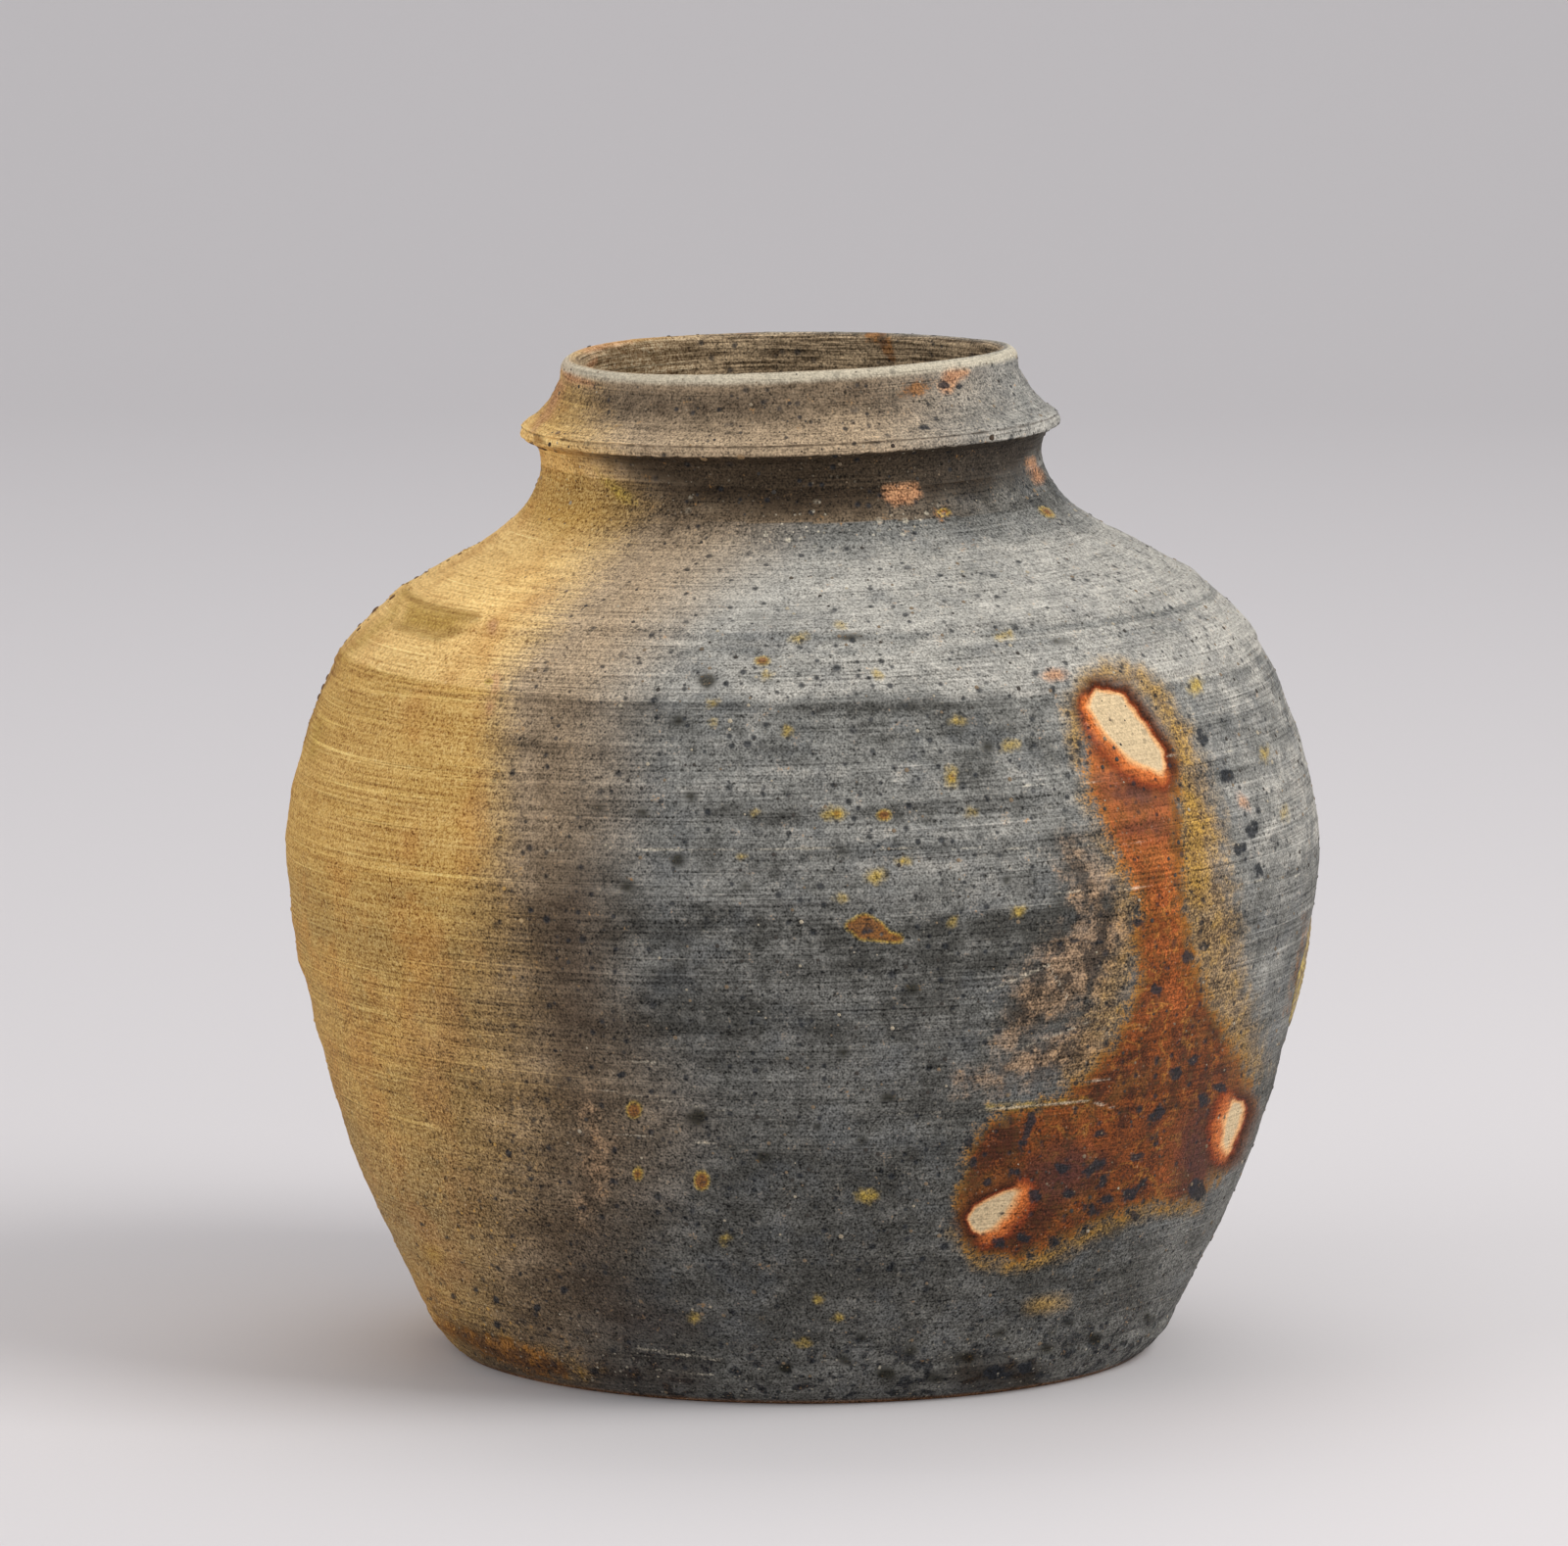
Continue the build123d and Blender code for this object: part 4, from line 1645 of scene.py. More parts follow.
@dataclass(frozen=True)
class FiredClay:
    """Dry sandy stoneware with ash, soot, flame marks and scars; with painted shadow under the flange,
    painted shade in the crease and under the shoulder's step, and painted highlights on the lip, the glints
    and a ridge.
    """

    name: str = "fired_clay"
    deep: Colour = tint(71, 70, 66)
    middle: Colour = tint(128, 127, 122)
    light: Colour = tint(178, 174, 165)
    blue: Colour = tint(84, 88, 92)
    taupe_dark: Colour = tint(92, 76, 58)
    taupe_light: Colour = tint(178, 154, 124)
    soot: Colour = tint(46, 36, 26)
    char: Colour = tint(62, 50, 42)
    smudge: Colour = tint(34, 32, 22)
    ash_dark: Colour = tint(160, 129, 76)
    ash_middle: Colour = tint(204, 161, 88)
    ash_light: Colour = tint(242, 200, 128)
    ash_grain: Colour = tint(150, 132, 110)
    ash_burn: Colour = tint(190, 132, 66)
    olive: Colour = tint(178, 140, 64)
    olive_edge: Colour = tint(142, 106, 46)
    halo: Colour = tint(178, 138, 58)
    halo_dark: Colour = tint(122, 90, 48)
    dusty: Colour = tint(138, 88, 36)
    strip: Colour = tint(170, 138, 90)
    strip_dark: Colour = tint(94, 72, 50)
    flash: Colour = tint(126, 64, 20)
    flash_dark: Colour = tint(74, 36, 18)
    flash_bright: Colour = tint(190, 100, 44)
    vein: Colour = tint(176, 124, 52)
    purple: Colour = tint(76, 42, 38)
    scorch: Colour = tint(100, 58, 30)
    scuff: Colour = tint(168, 136, 104)
    scuff_dark: Colour = tint(76, 60, 46)
    pink: Colour = tint(194, 144, 104)
    brick: Colour = tint(178, 122, 84)
    rust: Colour = tint(90, 56, 32)
    ember: Colour = tint(134, 60, 28)
    glow: Colour = tint(204, 114, 56)
    peach: Colour = tint(238, 180, 122)
    cream: Colour = tint(214, 190, 151)
    yellow: Colour = tint(184, 154, 58)
    amber: Colour = tint(124, 76, 18)
    dark: Colour = tint(38, 41, 46)
    # Pale colour of salt grains, and of the painted highlights on the lip, the glints and a ridge.
    bone_and_highlight: Colour = tint(206, 196, 174)
    inner: Colour = tint(180, 156, 124)
    inner_dark: Colour = tint(96, 78, 56)
    bare: Colour = tint(176, 132, 96)
    grit_size: float = 0.00042
    grain_size: float = 0.0008

    def build(self) -> Material:
        """Wire the material, layer on layer.

        Returns:
            The material.
        """
        material, board = shader_board(self.name)
        skin = ClaySkin(board, self.grit_size, self.grain_size)
        colour, ash = self._ash(skin, self._ground(skin))
        colour, flash = self._flame(skin, colour)
        colour, calm = self._scars(skin, self._mouth(skin, colour))
        colour, gloss = self._drops(skin, colour)
        colour, height = self._specks(skin, colour, ash, calm)
        colour = self._relight(skin, colour, ash, flash, calm)
        gloss = board.math("MINIMUM", gloss + flash * 0.15, 1.0)
        board.surface({
            "Base Color": colour, "Roughness": 0.84 - gloss * 0.5, "Normal": board.bump(height, 0.0004),
            "Specular IOR Level": 0.14, "Coat Weight": gloss * 0.5, "Coat Roughness": 0.2,
        })
        return material

    def _ground(self, skin: ClaySkin) -> Wire:
        """Grey clay in bands and clouds, warm beside the ash, with smudges.

        Args:
            skin: the clay's noises and brushes.

        Returns:
            The colour.
        """
        board, mark, place = skin.board, skin.mark, skin.place
        mottle, drift, clump, band = skin.mottle - 0.5, skin.drift - 0.5, skin.clump - 0.5, skin.band - 0.5
        tone = mark("pale") + mottle * 0.5 + drift * 0.7 + clump * 0.4 + band * 0.25
        tone = tone + ((skin.frost - 0.5) * 0.5 + clump * 0.4 + band * 0.6 + drift * 0.3) * mark("lively")
        colour = board.mix(board.step(tone, 0.0, 0.6), self.deep, self.middle)
        colour = board.mix(board.step(tone, 0.5, 1.05), colour, self.light)
        cloud = board.step(board.noise(place, 95.0, 3.0, 0.6), 0.46, 0.7)
        colour = board.mix(cloud * 0.35, colour, self.blue)
        blotch = board.step(board.noise(place, 330.0, 1.0), 0.53, 0.64) * mark("foot")
        colour = board.mix(blotch * 0.85, colour, self.dark)
        warm = board.mix(board.step(tone, 0.05, 0.95), self.taupe_dark, self.taupe_light)
        taupe = board.step(mark("taupe") + mottle * 0.3 + skin.texture * 0.1, 0.05, 1.0)
        return skin.lay(board.mix(taupe * 0.92, colour, warm), "smudge", self.smudge)

    def _ash(self, skin: ClaySkin, colour: Wire) -> tuple[Wire, Wire]:
        """Ash, olive runs, char, and soot with painted shadow under the flange, over a colour.

        Args:
            skin: the clay's noises and brushes.
            colour: what lies below.

        Returns:
            The colour, and the ash's cover.
        """
        board, mark = skin.board, skin.mark
        tone = (mark("pale") * 0.95 + 0.2 + (skin.band - 0.5) * 0.4 + (skin.drift - 0.5) * 0.2
                + (skin.mottle - 0.5) * 0.3)
        paint = board.mix(board.step(tone, 0.1, 0.6), self.ash_dark, self.ash_middle)
        paint = board.mix(board.step(tone, 0.55, 1.05), paint, self.ash_light)
        paint = board.mix(board.step(skin.texture, 0.05, 0.5) * 0.15, paint, self.ash_grain)
        burn = board.noise(skin.place, 60.0, 3.0, 0.6) + (mark("ash_edge") - 0.5) * 0.3
        paint = board.mix(board.step(burn, 0.55, 0.75) * 0.45, paint, self.ash_burn)
        paint = board.mix((mark("low") - mark("foot")) * 0.3, paint, self.ash_grain)
        share = mark("ash") + (skin.clump - 0.5) * 0.3 + skin.texture * 0.12 + skin.streak * 0.2
        ash = board.step(share, 0.05, 0.95)
        colour = board.mix(ash, colour, paint)
        colour = skin.lay(colour, "olive", self.olive)
        colour = skin.lay(colour, "olive_edge", self.olive_edge)
        colour = board.mix(skin.cover("char") * (0.5 + mark("foot") * 0.3), colour, self.char)
        # Soot, with painted shadow under the flange.
        return skin.lay(colour, "soot", self.soot), ash

    def _flame(self, skin: ClaySkin, colour: Wire) -> tuple[Wire, Wire]:
        """Flame field with its sandy strips, halo and scuffs over a colour.

        Args:
            skin: the clay's noises and brushes.
            colour: what lies below.

        Returns:
            The colour, and the field's cover.
        """
        board, mark, place = skin.board, skin.mark, skin.place
        clump, frost = skin.clump - 0.5, skin.frost - 0.5
        ochre = board.mix(skin.granular, self.halo_dark, self.halo)
        strip = board.mix(skin.granular, self.strip_dark, self.strip)
        strip = board.mix(board.step(skin.clump, 0.5, 0.7) * 0.7, strip, ochre)
        colour = skin.lay(skin.lay(colour, "strip", strip), "halo", ochre)
        flaky = frost * 2.4 + clump * 1.2 + skin.texture * 0.15
        scuff = board.mix(board.step(flaky, -0.25, 0.3), self.scuff_dark, self.scuff)
        colour = skin.lay(colour, "scuff", scuff)
        fire = (skin.mottle - 0.5) * 1.2 + frost * 1.5 + clump * 0.9 + skin.texture * 0.25
        fire = fire + mark("warmth") * 0.8 + 0.25
        paint = board.mix(board.step(fire, 0.0, 0.6), self.flash_dark, self.flash)
        paint = board.mix(board.step(fire, 0.6, 1.2), paint, self.flash_bright)
        dust = board.step(board.noise(place, 70.0, 4.0, 0.65) + mark("warmth") * 0.08, 0.5, 0.68)
        paint = board.mix(dust * 0.5, paint, self.dusty)
        wander = board.math("ABSOLUTE", board.noise(place, 110.0, 3.0, 0.6) - 0.5)
        veins = (1.0 - board.step(wander, 0.0, 0.035)) * board.step(skin.mottle + clump * 0.5, 0.4, 0.7)
        paint = skin.lay(board.mix(veins * 0.5, paint, self.vein), "purple", self.purple)
        paint = board.mix((1.0 - skin.cover("flash", FLASH_HEART)) * 0.5, paint, ochre)
        flash = skin.cover("flash")
        return board.mix(flash * 0.95, colour, paint), flash

    def _mouth(self, skin: ClaySkin, colour: Wire) -> Wire:
        """The inside, with rust and pink blushes over a colour.

        Args:
            skin: the clay's noises and brushes.
            colour: what lies below.

        Returns:
            The colour.
        """
        board = skin.board
        scored = skin.fine + (skin.drag - 0.5) * 0.7 + (skin.clump - 0.5) * 0.6
        inner = board.mix(board.step(scored, 0.22, 0.8), self.inner_dark, self.inner)
        colour = board.mix(skin.mark("inner") * 0.95, colour, inner)
        rusty = board.step(skin.clump + (skin.frost - 0.5) * 0.8, 0.42, 0.62)
        colour = skin.lay(colour, "rust", board.mix(rusty, self.rust, self.dusty))
        return skin.lay(colour, "pink", board.mix(skin.granular, self.brick, self.pink))

    def _scars(self, skin: ClaySkin, colour: Wire) -> tuple[Wire, Wire]:
        """Pale scars in a burnt ring over a colour.

        Args:
            skin: the clay's noises and brushes.
            colour: what lies below.

        Returns:
            The colour, and how much grain and lines are kept there.
        """
        board, scar, glow = skin.board, skin.mark("scar"), skin.mark("glow")
        wavy = (skin.clump - 0.5) * 0.07
        near = 0.75 + (scar - 0.75) * (1.0 - glow * 0.5) + glow * 0.02 + wavy
        ring = board.ramp(scar + wavy, (0.58, self.scorch), (0.71, self.flash_dark), (0.74, self.ember),
                          (0.77, self.peach), (0.8, self.cream))
        bright = board.ramp(near, (0.6, self.flash_dark), (0.68, self.ember), (0.735, self.glow),
                            (0.775, self.peach), (0.82, self.cream))
        ring = board.mix(board.step(glow, 0.15, 0.7), ring, bright)
        colour = board.mix(board.step(near + wavy + skin.texture * 0.03, 0.5, 0.72), colour, ring)
        return colour, 1.0 - board.step(near, 0.72, 0.78) * 0.6

    def _drops(self, skin: ClaySkin, colour: Wire) -> tuple[Wire, Wire]:
        """Drops of glass, dark spots, painted shade in the crease, a painted highlight on the lip and bare
        foot over a colour.

        Args:
            skin: the clay's noises and brushes.
            colour: what lies below.

        Returns:
            The colour, and the drops' gloss.
        """
        board, mark = skin.board, skin.mark
        yellow, brown = skin.blot("yellow", 0.2, 1.0, 0.9), skin.cover("brown")
        colour = board.mix(yellow * 0.8, colour, self.yellow)
        glass = board.mix(board.step(mark("brown"), 0.4, 0.9), self.yellow, self.amber)
        colour = board.mix(brown * 0.9, colour, glass)
        colour = board.mix(skin.blot("dark", 0.4, 0.9, 1.9) * 0.9, colour, self.dark)
        # Painted shade in the crease, and a painted highlight along the lip.
        colour = skin.lay(skin.lay(colour, "crease", self.soot), "lip", self.bone_and_highlight)
        colour = board.mix(mark("bare"), colour, board.mix(skin.mottle, self.rust, self.bare))
        return colour, brown * 0.8 + yellow * 0.35

    def _specks(self, skin: ClaySkin, colour: Wire, ash: Wire, calm: Wire) -> tuple[Wire, Wire]:
        """Iron specks, salt, painted glints, and scrapes with one painted highlight line over a colour.

        Args:
            skin: the clay's noises and brushes.
            colour: what lies below.
            ash: the ash's cover.
            calm: how much grain is kept at the scars.

        Returns:
            The colour, and the fine relief.
        """
        board, mark = skin.board, skin.mark
        dry = 1.0 - ash * (0.9 - mark("low") * 0.7)
        calm = calm * (1.0 - mark("lip") * 0.6)
        crowd = board.step(board.noise(skin.place, 26.0, 2.0), 0.35, 0.62) * dry
        colour = board.mix(skin.specks(SPOTS) * mark("foot") * dry * 0.85, colour, self.dark)
        pepper = skin.specks(PEPPER) * (crowd * 0.6 + dry * 0.4) * calm
        points = skin.specks(POINTS) * dry * calm
        colour = board.mix(pepper * 0.85, colour, self.dark)
        colour = board.mix(points * 0.8, colour, self.dark)
        salt = skin.specks(SALT)
        # Salt is pale grit; within the sparkle marks it and the glints are painted highlights.
        salted = 0.12 + mark("sparkle") * 0.85 + mark("foot") * dry * 0.3
        colour = board.mix(salt * salted, colour, self.bone_and_highlight)
        colour = board.mix(skin.specks(GLINTS) * mark("sparkle") * 0.9, colour, self.bone_and_highlight)
        height = (skin.drag * 0.7 + skin.fine * 0.3 + skin.comb * 0.15 + skin.grain * 0.5 + skin.grit * 0.3
                  + skin.sand * 0.5 - pepper * 0.3 - points * 0.6 + salt * 0.3 + skin.ridge * 0.4
                  - skin.groove * 0.4)
        # Scrapes are pale drag lines; one of them is a painted highlight along a ridge.
        return skin.lay(colour, "scrape", self.bone_and_highlight), height

    def _relight(self, skin: ClaySkin, colour: Wire, ash: Wire, flash: Wire, calm: Wire) -> Wire:
        """Light and dark of the grain and the throwing lines, warmer on the ash.

        Args:
            skin: the clay's noises and brushes.
            colour: what lies below.
            ash: the ash's cover.
            flash: the flame field's cover.
            calm: how much grain is kept at the scars.

        Returns:
            The colour.
        """
        board, lined = skin.board, skin.mark("lined")
        calm = calm * (1.0 - skin.mark("lip") * 0.6)
        gain = (1.5 - skin.mark("pale") * 0.65) * (1.0 - flash * 0.25) * (1.0 - lined * 0.15) * calm
        light = (skin.fine - 0.5) * 0.7 + (skin.drag - 0.5) * 0.3 + skin.ridge * 0.4 + skin.comb * 0.1
        streak = (skin.streak + (light - skin.streak) * ash) * (0.6 + lined * 0.75)
        contrast = board.math("MAXIMUM", 1.0 + streak * calm + skin.texture * gain, 0.12)
        warmer = board.join(contrast ** (1.0 - ash * 0.25), contrast, contrast ** (1.0 + ash * 0.25))
        return board.mix(1.0, colour, warmer, "MULTIPLY")


@dataclass(frozen=True)
class Slip(FiredClay):
    """The film of slip in a joint, which takes the colours of the wall beside it."""

    name: str = "slip"
    grain_size: float = 0.0007


@dataclass(frozen=True)
class AshCrust:
    """Half-melted wood ash: crusty, yellow-olive, with brown glass in its hollows."""

    name: str = "ash_glass"
    crust: Colour = tint(204, 176, 92)
    olive: Colour = tint(164, 140, 62)
    glass: Colour = tint(108, 84, 40)
    lump_scale: float = 420.0
    pore_scale: float = 1300.0

    def build(self) -> Material:
        """Wire the material.

        Returns:
            The material.
        """
        material, board = shader_board(self.name)
        place = board.place()
        lump = board.noise(place, self.lump_scale, 4.0, 0.6)
        pore = board.noise(place, self.pore_scale, 2.0, 0.6)
        colour = board.mix(board.step(lump + (pore - 0.5) * 0.5, 0.35, 0.65), self.glass, self.olive)
        colour = board.mix(board.step(lump + (pore - 0.5) * 0.6, 0.48, 0.78), colour, self.crust)
        board.surface({
            "Base Color": colour, "Roughness": 0.45 + lump * 0.5,
            "Normal": board.bump(lump + pore * 0.6, 0.0005), "Coat Weight": 0.2,
        })
        return material


@dataclass(frozen=True)
class Grit:
    """Grains of sand and iron that stand out of the clay, dusted over on the ash side."""

    name: str = "kiln_grit"
    pale: Colour = tint(176, 164, 142)
    iron: Colour = tint(62, 57, 52)
    clay: Colour = tint(130, 112, 90)
    ash: Colour = tint(196, 154, 86)
    ash_side: Knot = (-0.065, -0.05)
    chip_scale: float = 1500.0

    def build(self) -> Material:
        """Wire the material.

        Returns:
            The material.
        """
        material, board = shader_board(self.name)
        place = board.place()
        kind = board.attribute("grain")
        chip = board.noise(place, self.chip_scale, 2.0)
        colour = board.mix(board.step(kind, 0.45, 0.55), self.iron, self.clay)
        colour = board.mix(board.step(kind, 0.85, 0.9), colour, self.pale)
        x, _, _ = board.split(place)
        colour = board.mix(1.0 - board.step(x, *self.ash_side), colour, self.ash)
        board.surface({
            "Base Color": board.shaded(colour, 0.6 + chip * 0.8), "Roughness": 0.55 + chip * 0.4,
            "Specular IOR Level": 0.35,
        })
        return material


@dataclass(frozen=True)
class Crumb(Grit):
    """Burnt crumbs of clay and ash that stuck to an edge."""

    name: str = "burnt_crumb"
    pale: Colour = tint(184, 166, 138)
    iron: Colour = tint(58, 46, 38)
    clay: Colour = tint(142, 116, 84)
    ash: Colour = tint(104, 74, 48)


@dataclass(frozen=True)
class Paper:
    """Pale studio paper that darkens a little towards the back."""

    name: str = "studio_paper"
    near: Colour = tint(216, 212, 213)
    far: Colour = tint(214, 210, 211)
    fibre_scale: float = 900.0
    fade: Knot = (0.4, 3.2)

    def build(self) -> Material:
        """Wire the material.

        Returns:
            The material.
        """
        material, board = shader_board(self.name)
        place = board.place()
        _, y, z = board.split(place)
        fibre = board.noise(place, self.fibre_scale, 2.0)
        colour = board.mix(board.step(y + z * 1.5, *self.fade), self.near, self.far)
        board.surface({
            "Base Color": board.shaded(colour, 0.985 + fibre * 0.03), "Roughness": 0.92,
            "Specular IOR Level": 0.1,
        })
        return material


# Sub-assemblies


def settle(piece: Object, node: str | None) -> Object:
    """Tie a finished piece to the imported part.

    Args:
        piece: the mesh object.
        node: the node that it stands for, or None.

    Returns:
        The same object.
    """
    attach(piece, "root")
    if node:
        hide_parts(node)
    low, high = (corner[2] / MM for corner in (piece.bound_box[0], piece.bound_box[6]))
    LOG.info("%s: %d faces, z %.1f to %.1f mm", piece.name, len(piece.data.polygons), low, high)
    return piece


@dataclass(frozen=True)
class Course:
    """One thrown piece: its node, the joints below and above it, and the spacing of its rows."""

    node: str
    low: str
    high: str | None
    row: float
    inner_row: float


@dataclass
class Workshop:
    """What every sub-assembly needs: section, wheel, marks and the two clays."""

    section: JarSection
    wheel: Wheel
    marks: KilnMarks
    clay: Material
    slip: Material
    film_row: float = 0.25
    film_inner_row: float = 0.5
    sharp_deg: float = 60.0

    def make(self, node: str, section: Section, slot: Slot = Slot.CLAY) -> Object:
        """Turn, mark and settle one piece.

        Args:
            node: the node that it stands for.
            section: its outline.
            slot: its material slot.

        Returns:
            The piece.
        """
        material = self.clay if slot is Slot.CLAY else self.slip
        piece = self.wheel.turn("jar_" + node, section, material)
        self.marks.lay(piece)
        piece.data.set_sharp_from_angle(angle=math.radians(self.sharp_deg))
        return settle(piece, node)

    def throw(self, course: Course) -> Object:
        """Make one course, and the film of slip that it stands on.

        Args:
            course: the course.

        Returns:
            Its piece.
        """
        film = self.section.sizes.slip
        joint = self.section.piece((course.low, 0.0), (course.low, film), self.film_row, self.film_inner_row)
        self.make(course.low + "_slip", joint, Slot.SLIP)
        high = (course.high, 0.0) if course.high else None
        wall = self.section.piece((course.low, film), high, course.row, course.inner_row)
        return self.make(course.node, wall)


@dataclass
class SubAssembly:
    """Courses thrown one on another."""

    shop: Workshop
    courses: tuple[Course, ...] = ()

    def build(self) -> list[Object]:
        """Make the pieces from the lowest up, and return those of clay."""
        return [self.shop.throw(course) for course in self.courses]


@dataclass
class LowerHalf(SubAssembly):
    """Base disc and the two courses up to the waist."""

    courses: tuple[Course, ...] = (
        Course("foot_course", "heel", "flank", 0.85, 3.0),
        Course("belly_course", "flank", "waist", 0.85, 3.0),
    )
    base_row: float = 0.6

    def build(self) -> list[Object]:
        """Make the pieces from the floor up, and return those of clay."""
        base = self.shop.make("base_disc", self.shop.section.base(self.base_row))
        return [base, *super().build()]


@dataclass
class UpperHalf(SubAssembly):
    """The two courses that close in from the waist to the neck."""

    courses: tuple[Course, ...] = (
        Course("shoulder_course", "waist", "shoulder", 0.8, 3.0),
        Course("crown_course", "shoulder", "root", 0.8, 3.0),
    )


@dataclass
class Mouth(SubAssembly):
    """Neck, flange and collar."""

    courses: tuple[Course, ...] = (
        Course("neck_coil", "root", "throat", 0.45, 1.2),
        Course("flange_coil", "throat", "flange", 0.3, 1.2),
        Course("collar_coil", "flange", None, 0.4, 0.8),
    )


@dataclass
class AshRun:
    """The crust of half-melted ash on the right-hand side, in millimetres."""

    section: JarSection
    name: str = "jar_ash_run"
    middle_level: float = 81.0
    turn_deg: float = 5.0
    length: float = 26.0
    width: float = 22.0
    thickness: float = 1.0
    bed: float = 0.6
    rings: int = 40
    spokes: int = 96
    lumps: int = 14
    edge_waves: tuple[tuple[float, int, float], ...] = ((0.10, 3, 1.0), (0.07, 7, 0.0), (0.05, 13, 2.0))
    seed: int = 11

    def _points(self) -> list[np.ndarray]:
        """Rings of the outer face, then of the bed, then the middle of each.

        Returns:
            Points in metres.
        """
        outside, waist = self.section.outside, self.section.sizes.waist_level
        wall = outside.points[outside.run > outside.meet(self.section.sizes.heel, 0.0, 0.0)]
        wall = wall[wall[:, 1] < 0.0]
        generator = np.random.default_rng(self.seed)
        phases = generator.uniform(0.0, 2 * math.pi, (self.lumps, 2))
        waves = generator.uniform(-0.9, 0.9, (self.lumps, 2)) * 3
        spin = np.linspace(0.0, 2 * math.pi, self.spokes, endpoint=False)
        ragged = 1.0 + sum(size * np.sin(count * spin + start) for size, count, start in self.edge_waves)
        ragged = ragged / ragged.max() / 2
        points = []
        for outer in (True, False):
            for ring in range(0 if outer else 1, self.rings):
                share = (self.rings - ring) / self.rings
                across = np.sin(spin) * ragged * share * self.width
                above = np.cos(spin) * ragged * share * self.length
                lumpy = sum(np.sin(across * wave[0] + phase[0]) * np.sin(above * wave[1] + phase[1])
                            for wave, phase in zip(waves, phases)) / 6
                domed = (1 - share**2) ** 0.5
                lift = -self.bed * domed
                if outer:
                    lift = self.thickness * domed * np.clip(0.55 + 0.3 * lumpy, 0.1, 1.0)
                up = self.middle_level + above
                radius = np.interp(up - waist, wall[:, 1], wall[:, 0]) + lift
                depth = np.sqrt(np.maximum(radius**2 - across**2, 0.0))
                points.extend(np.stack([depth, across, up], axis=-1) * MM)
        radius = np.interp(self.middle_level - waist, wall[:, 1], wall[:, 0])
        for lift in (self.thickness * 0.6, -self.bed):
            points.append(np.array((radius + lift, 0.0, self.middle_level)) * MM)
        return points

    def _row(self, outer: bool, ring: int) -> int:
        """First point of a ring; the outermost ring is shared.

        Args:
            outer: whether the ring is on the outer face.
            ring: its number, counted from the rim.

        Returns:
            The point's number.
        """
        if ring == 0:
            return 0
        return (ring if outer else self.rings + ring - 1) * self.spokes

    def _faces(self) -> list[tuple[int, ...]]:
        """Faces between the rings, and the fan in the middle of each side.

        Returns:
            Numbers of the points round each face.
        """
        top = (2 * self.rings - 1) * self.spokes
        pairs = [(i, (i + 1) % self.spokes) for i in range(self.spokes)]
        faces = []
        for outer in (True, False):
            for ring in range(self.rings - 1):
                a, b = self._row(outer, ring), self._row(outer, ring + 1)
                quads = [(a + i, a + j, b + j, b + i) for i, j in pairs]
                faces += quads if outer else [quad[::-1] for quad in quads]
            last, tip = self._row(outer, self.rings - 1), top if outer else top + 1
            faces += [(last + i, last + j, tip) if outer else (last + j, last + i, tip) for i, j in pairs]
        return faces

    def build(self, crust: Material) -> Object:
        """Lay a lumpy lens on the wall.

        Args:
            crust: its material.

        Returns:
            The piece.
        """
        mesh = bpy.data.meshes.new(self.name)
        turned = Matrix.Rotation(-math.radians(self.turn_deg), 3, "Z")
        mesh.from_pydata([turned @ Vector(point) for point in self._points()], [], self._faces())
        mesh.materials.append(crust)
        mesh.shade_smooth()
        return settle(bake(stand(self.name, mesh)), "ash_run")


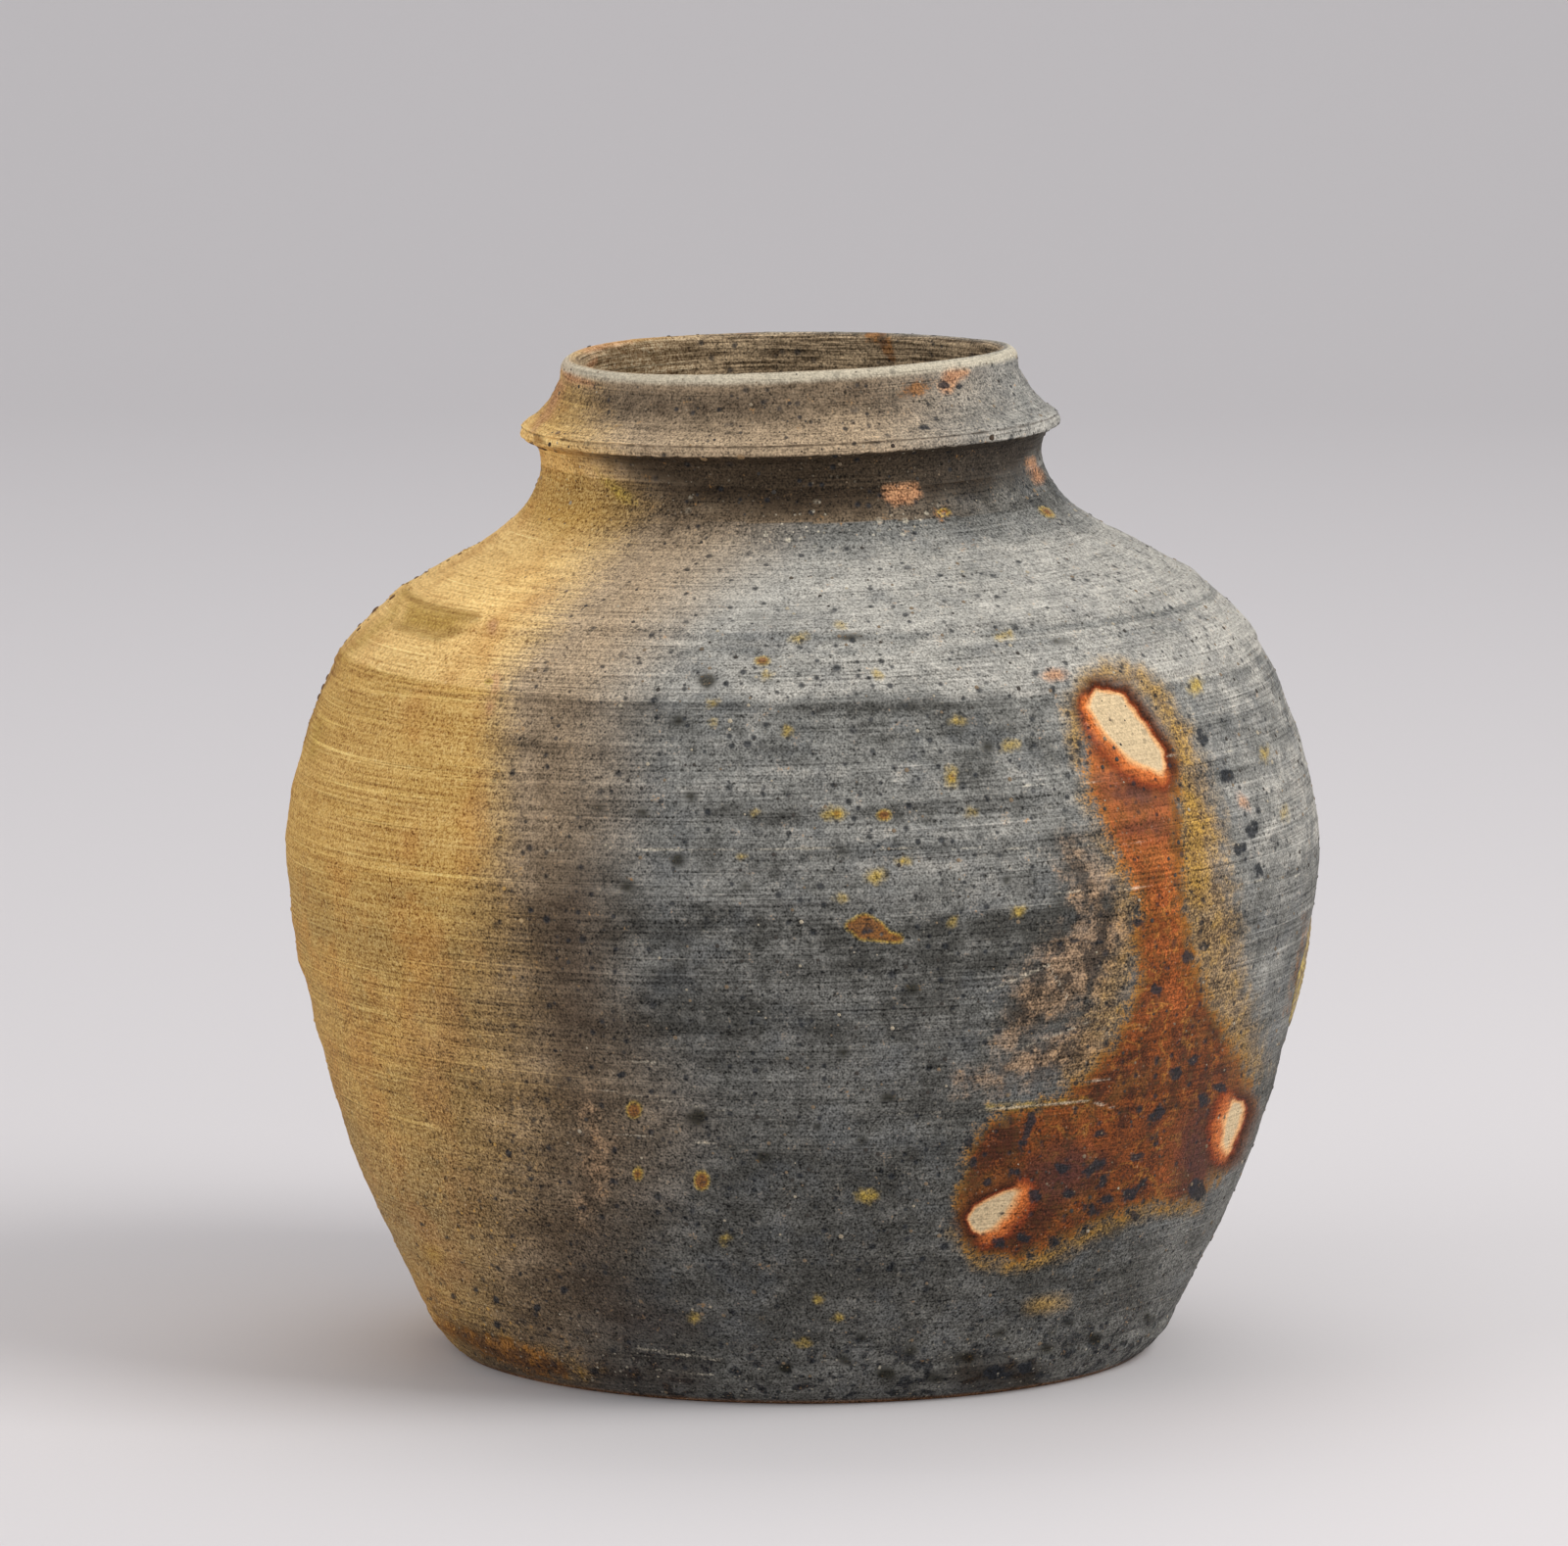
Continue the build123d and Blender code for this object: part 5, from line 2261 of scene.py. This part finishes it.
@dataclass
class KilnGrit:
    """Grains of sand and iron scattered over the outside by geometry nodes, in metres."""

    name: str = "jar_kiln_grit"
    density: float = 26000.0
    apart: float = 0.0016
    smallest: float = 0.00018
    largest: float = 0.00052
    clear_of_floor: float = 0.0015
    flatness: float = 0.55
    seed: int = 5

    def holds(self, place: Vector) -> bool:
        """Whether grains may lie at a place."""
        return place.z > self.clear_of_floor

    def _bed(self, beds: list[Object]) -> Mesh:
        """The outer faces of some pieces on which grains may lie.

        Args:
            beds: the pieces.

        Returns:
            One mesh.
        """
        places, faces, start = [], [], 0
        for bed in beds:
            skin = numbers(bed.data, "skin")
            places.extend(v.co[:] for v in bed.data.vertices)
            faces.extend(tuple(start + i for i in p.vertices) for p in bed.data.polygons
                         if self.holds(p.center) and min(skin[i] for i in p.vertices) > 0.9)
            start += len(bed.data.vertices)
        mesh = bpy.data.meshes.new(self.name + "_bed")
        mesh.from_pydata(places, [], faces)
        return mesh

    def _jig(self) -> Jig:
        """Scattered lumps, each lying flat on its bed and of its own size.

        Returns:
            The jig.
        """
        inputs = {"Bed": "Geometry"} | dict.fromkeys(("Density", "Apart", "Smallest", "Largest"), "Float")
        jig = Jig("scatter_grit", inputs | {"Seed": "Int", "Grit": "Material"}, "Grains")
        board, given = jig.board, jig.given
        points = board.node("GeometryNodeDistributePointsOnFaces", {"distribute_method": "POISSON"}, {
            "Mesh": given["Bed"], "Distance Min": given["Apart"], "Density Max": given["Density"],
            "Seed": given["Seed"]})
        turned = Wire(board, points.socket.node.outputs["Rotation"])
        points = board.store(points, "grain", board.chance(given["Seed"]))
        spread = given["Largest"] - given["Smallest"]
        size = given["Smallest"] + spread * board.chance(given["Seed"] + 1) ** 2.5
        ball = board.node("GeometryNodeMeshIcoSphere", None, {"Radius": 1.0, "Subdivisions": 2})
        place = board.node("GeometryNodeInputPosition")
        lumpy = board.scaled(place, board.noise(place, 1.3, 2.0) + 0.45)
        ball = board.node("GeometryNodeSetPosition", None, {0: ball, "Position": lumpy})
        grains = board.node("GeometryNodeInstanceOnPoints", None, {
            "Points": points, "Instance": ball, "Rotation": turned,
            "Scale": board.join(size, size, size * self.flatness)})
        jig.deliver(grains, given["Grit"])
        return jig

    def build(self, beds: list[Object], material: Material) -> Object:
        """Scatter the grains.

        Args:
            beds: the pieces that they lie on.
            material: the grains' material.

        Returns:
            One piece with all the grains.
        """
        piece = self._jig().run(stand(self.name, self._bed(beds)), {
            "Density": self.density, "Apart": self.apart, "Smallest": self.smallest, "Largest": self.largest,
            "Seed": self.seed, "Grit": material})
        return settle(piece, None)


@dataclass
class EdgeCrumbs(KilnGrit):
    """Crumbs on the edge of the flange, and a fringe of them on the left shoulder."""

    name: str = "jar_edge_crumbs"
    density: float = 60000.0
    apart: float = 0.0018
    smallest: float = 0.0002
    largest: float = 0.0009
    seed: int = 9
    lean_deg: float = 1.5
    flange: tuple[float, float] = (0.1962, 0.2002)
    flange_radius: float = 0.0552
    fringe_middle: tuple[float, float] = (0.015, 0.153)
    fringe_size: tuple[float, float] = (0.03, 0.025)

    def holds(self, place: Vector) -> bool:
        """Whether a place is on the flange's edge or on the fringe, which is a ragged oval.

        Args:
            place: the middle of a face.

        Returns:
            True where crumbs may lie.
        """
        level = place.z - place.x * math.tan(math.radians(self.lean_deg))
        edge = self.flange[0] < level < self.flange[1] and math.hypot(place.x, place.y) > self.flange_radius
        aside = (place.y - self.fringe_middle[0]) / self.fringe_size[0]
        above = (place.z - self.fringe_middle[1]) / self.fringe_size[1]
        turn = math.atan2(above, aside)
        ragged = 0.75 + 0.15 * math.sin(3 * turn + 1.0) + 0.1 * math.sin(5 * turn)
        return edge or (place.x < 0.0 and math.hypot(aside, above) < ragged)


# Studio


def aim_at(held: Object, place: tuple[float, ...], aim: tuple[float, ...]) -> None:
    """Put a lamp or a camera at a place and turn it to a point."""
    held.location = place
    held.rotation_euler = (Vector(aim) - Vector(place)).to_track_quat("-Z", "Y").to_euler()


@dataclass(frozen=True)
class Lamp:
    """One square lamp: where it stands, the point that it is turned to, its size, power and colour."""

    name: str
    place: tuple[float, float, float]
    aim: tuple[float, float, float]
    size: float
    power: float
    colour: tuple[float, float, float]

    def build(self) -> None:
        """Put the lamp up."""
        lamp = bpy.data.lights.new(self.name, "AREA")
        lamp.shape = "SQUARE"
        lamp.size = self.size
        lamp.energy = self.power
        lamp.color = self.colour
        aim_at(stand(self.name, lamp), self.place, self.aim)


@dataclass
class Studio:
    """Paper sweep, lamps, world and camera of the picture, in metres."""

    view: PhotoView
    floor_width: float = 9.0
    floor_front: float = -3.0
    sweep_start: float = 2.0
    sweep_radius: float = 1.2
    sweep_height: float = 3.0
    sweep_steps: int = 24
    sky: Colour = (0.95, 0.97, 1.0, 1.0)
    sky_strength: float = 0.5
    sensor: float = 36.0
    lamps: tuple[Lamp, ...] = (
        Lamp("key", (1.15, -0.55, 1.2), (0.0, 0.0, 0.1), 0.9, 18.0, (1.0, 0.985, 0.96)),
        Lamp("fill", (-1.6, -0.8, 0.9), (0.0, 0.0, 0.1), 1.4, 10.0, (1.0, 0.99, 0.98)),
        Lamp("top", (0.0, 1.2, 2.0), (0.0, 0.9, 0.0), 1.6, 13.0, (1.0, 0.99, 0.99)),
    )

    def build(self) -> None:
        """Set everything up."""
        self._paper()
        for lamp in self.lamps:
            lamp.build()
        self._world()
        self._camera()
        bpy.context.scene.view_settings.view_transform = "Standard"

    def _paper(self) -> None:
        """Floor that curves up into a backdrop."""
        turn = np.linspace(0.0, QUARTER, self.sweep_steps)
        rows = [(self.floor_front, 0.0)]
        rows += [(self.sweep_start + self.sweep_radius * math.sin(t), self.sweep_radius * (1 - math.cos(t)))
                 for t in turn]
        rows.append((self.sweep_start + self.sweep_radius, self.sweep_height))
        half = self.floor_width / 2
        points = [(side * half, y, z) for y, z in rows for side in (-1, 1)]
        faces = [(2 * i, 2 * i + 1, 2 * i + 3, 2 * i + 2) for i in range(len(rows) - 1)]
        mesh = bpy.data.meshes.new("studio_paper")
        mesh.from_pydata(points, [], faces)
        mesh.materials.append(Paper().build())
        mesh.shade_smooth()
        stand("studio_paper", mesh)

    def _world(self) -> None:
        """Even pale light from all round."""
        world = bpy.data.worlds.new("studio")
        world.use_nodes = True
        world.node_tree.nodes.clear()
        board = Board(world.node_tree)
        light = board.node("ShaderNodeBackground", None, {"Color": self.sky, "Strength": self.sky_strength})
        board.end("ShaderNodeOutputWorld", light)
        bpy.context.scene.world = world

    def _camera(self) -> None:
        """The photo's camera."""
        view = self.view
        camera = bpy.data.cameras.new("photo_camera")
        camera.sensor_width = self.sensor
        camera.lens = view.focal / view.width * self.sensor
        camera.clip_end = 50.0
        held = stand("photo_camera", camera)
        aim_at(held, (view.aside, -view.distance, view.level), (view.aside, 0.0, view.aim_level))
        bpy.context.scene.camera = held


def main() -> None:
    """Build the jar from the floor up, then the studio."""
    sizes, view = JarSizes(), PhotoView()
    section = JarSection(sizes)
    marks = KilnMarks(sizes, view, section.outside.run[-1])
    shop = Workshop(section, Wheel(sizes), marks, FiredClay().build(), Slip().build())
    beds = LowerHalf(shop).build() + UpperHalf(shop).build() + Mouth(shop).build()
    AshRun(section).build(AshCrust().build())
    KilnGrit().build(beds, Grit().build())
    EdgeCrumbs().build(beds, Crumb().build())
    Studio(view).build()


if __name__ == "__main__":
    main()
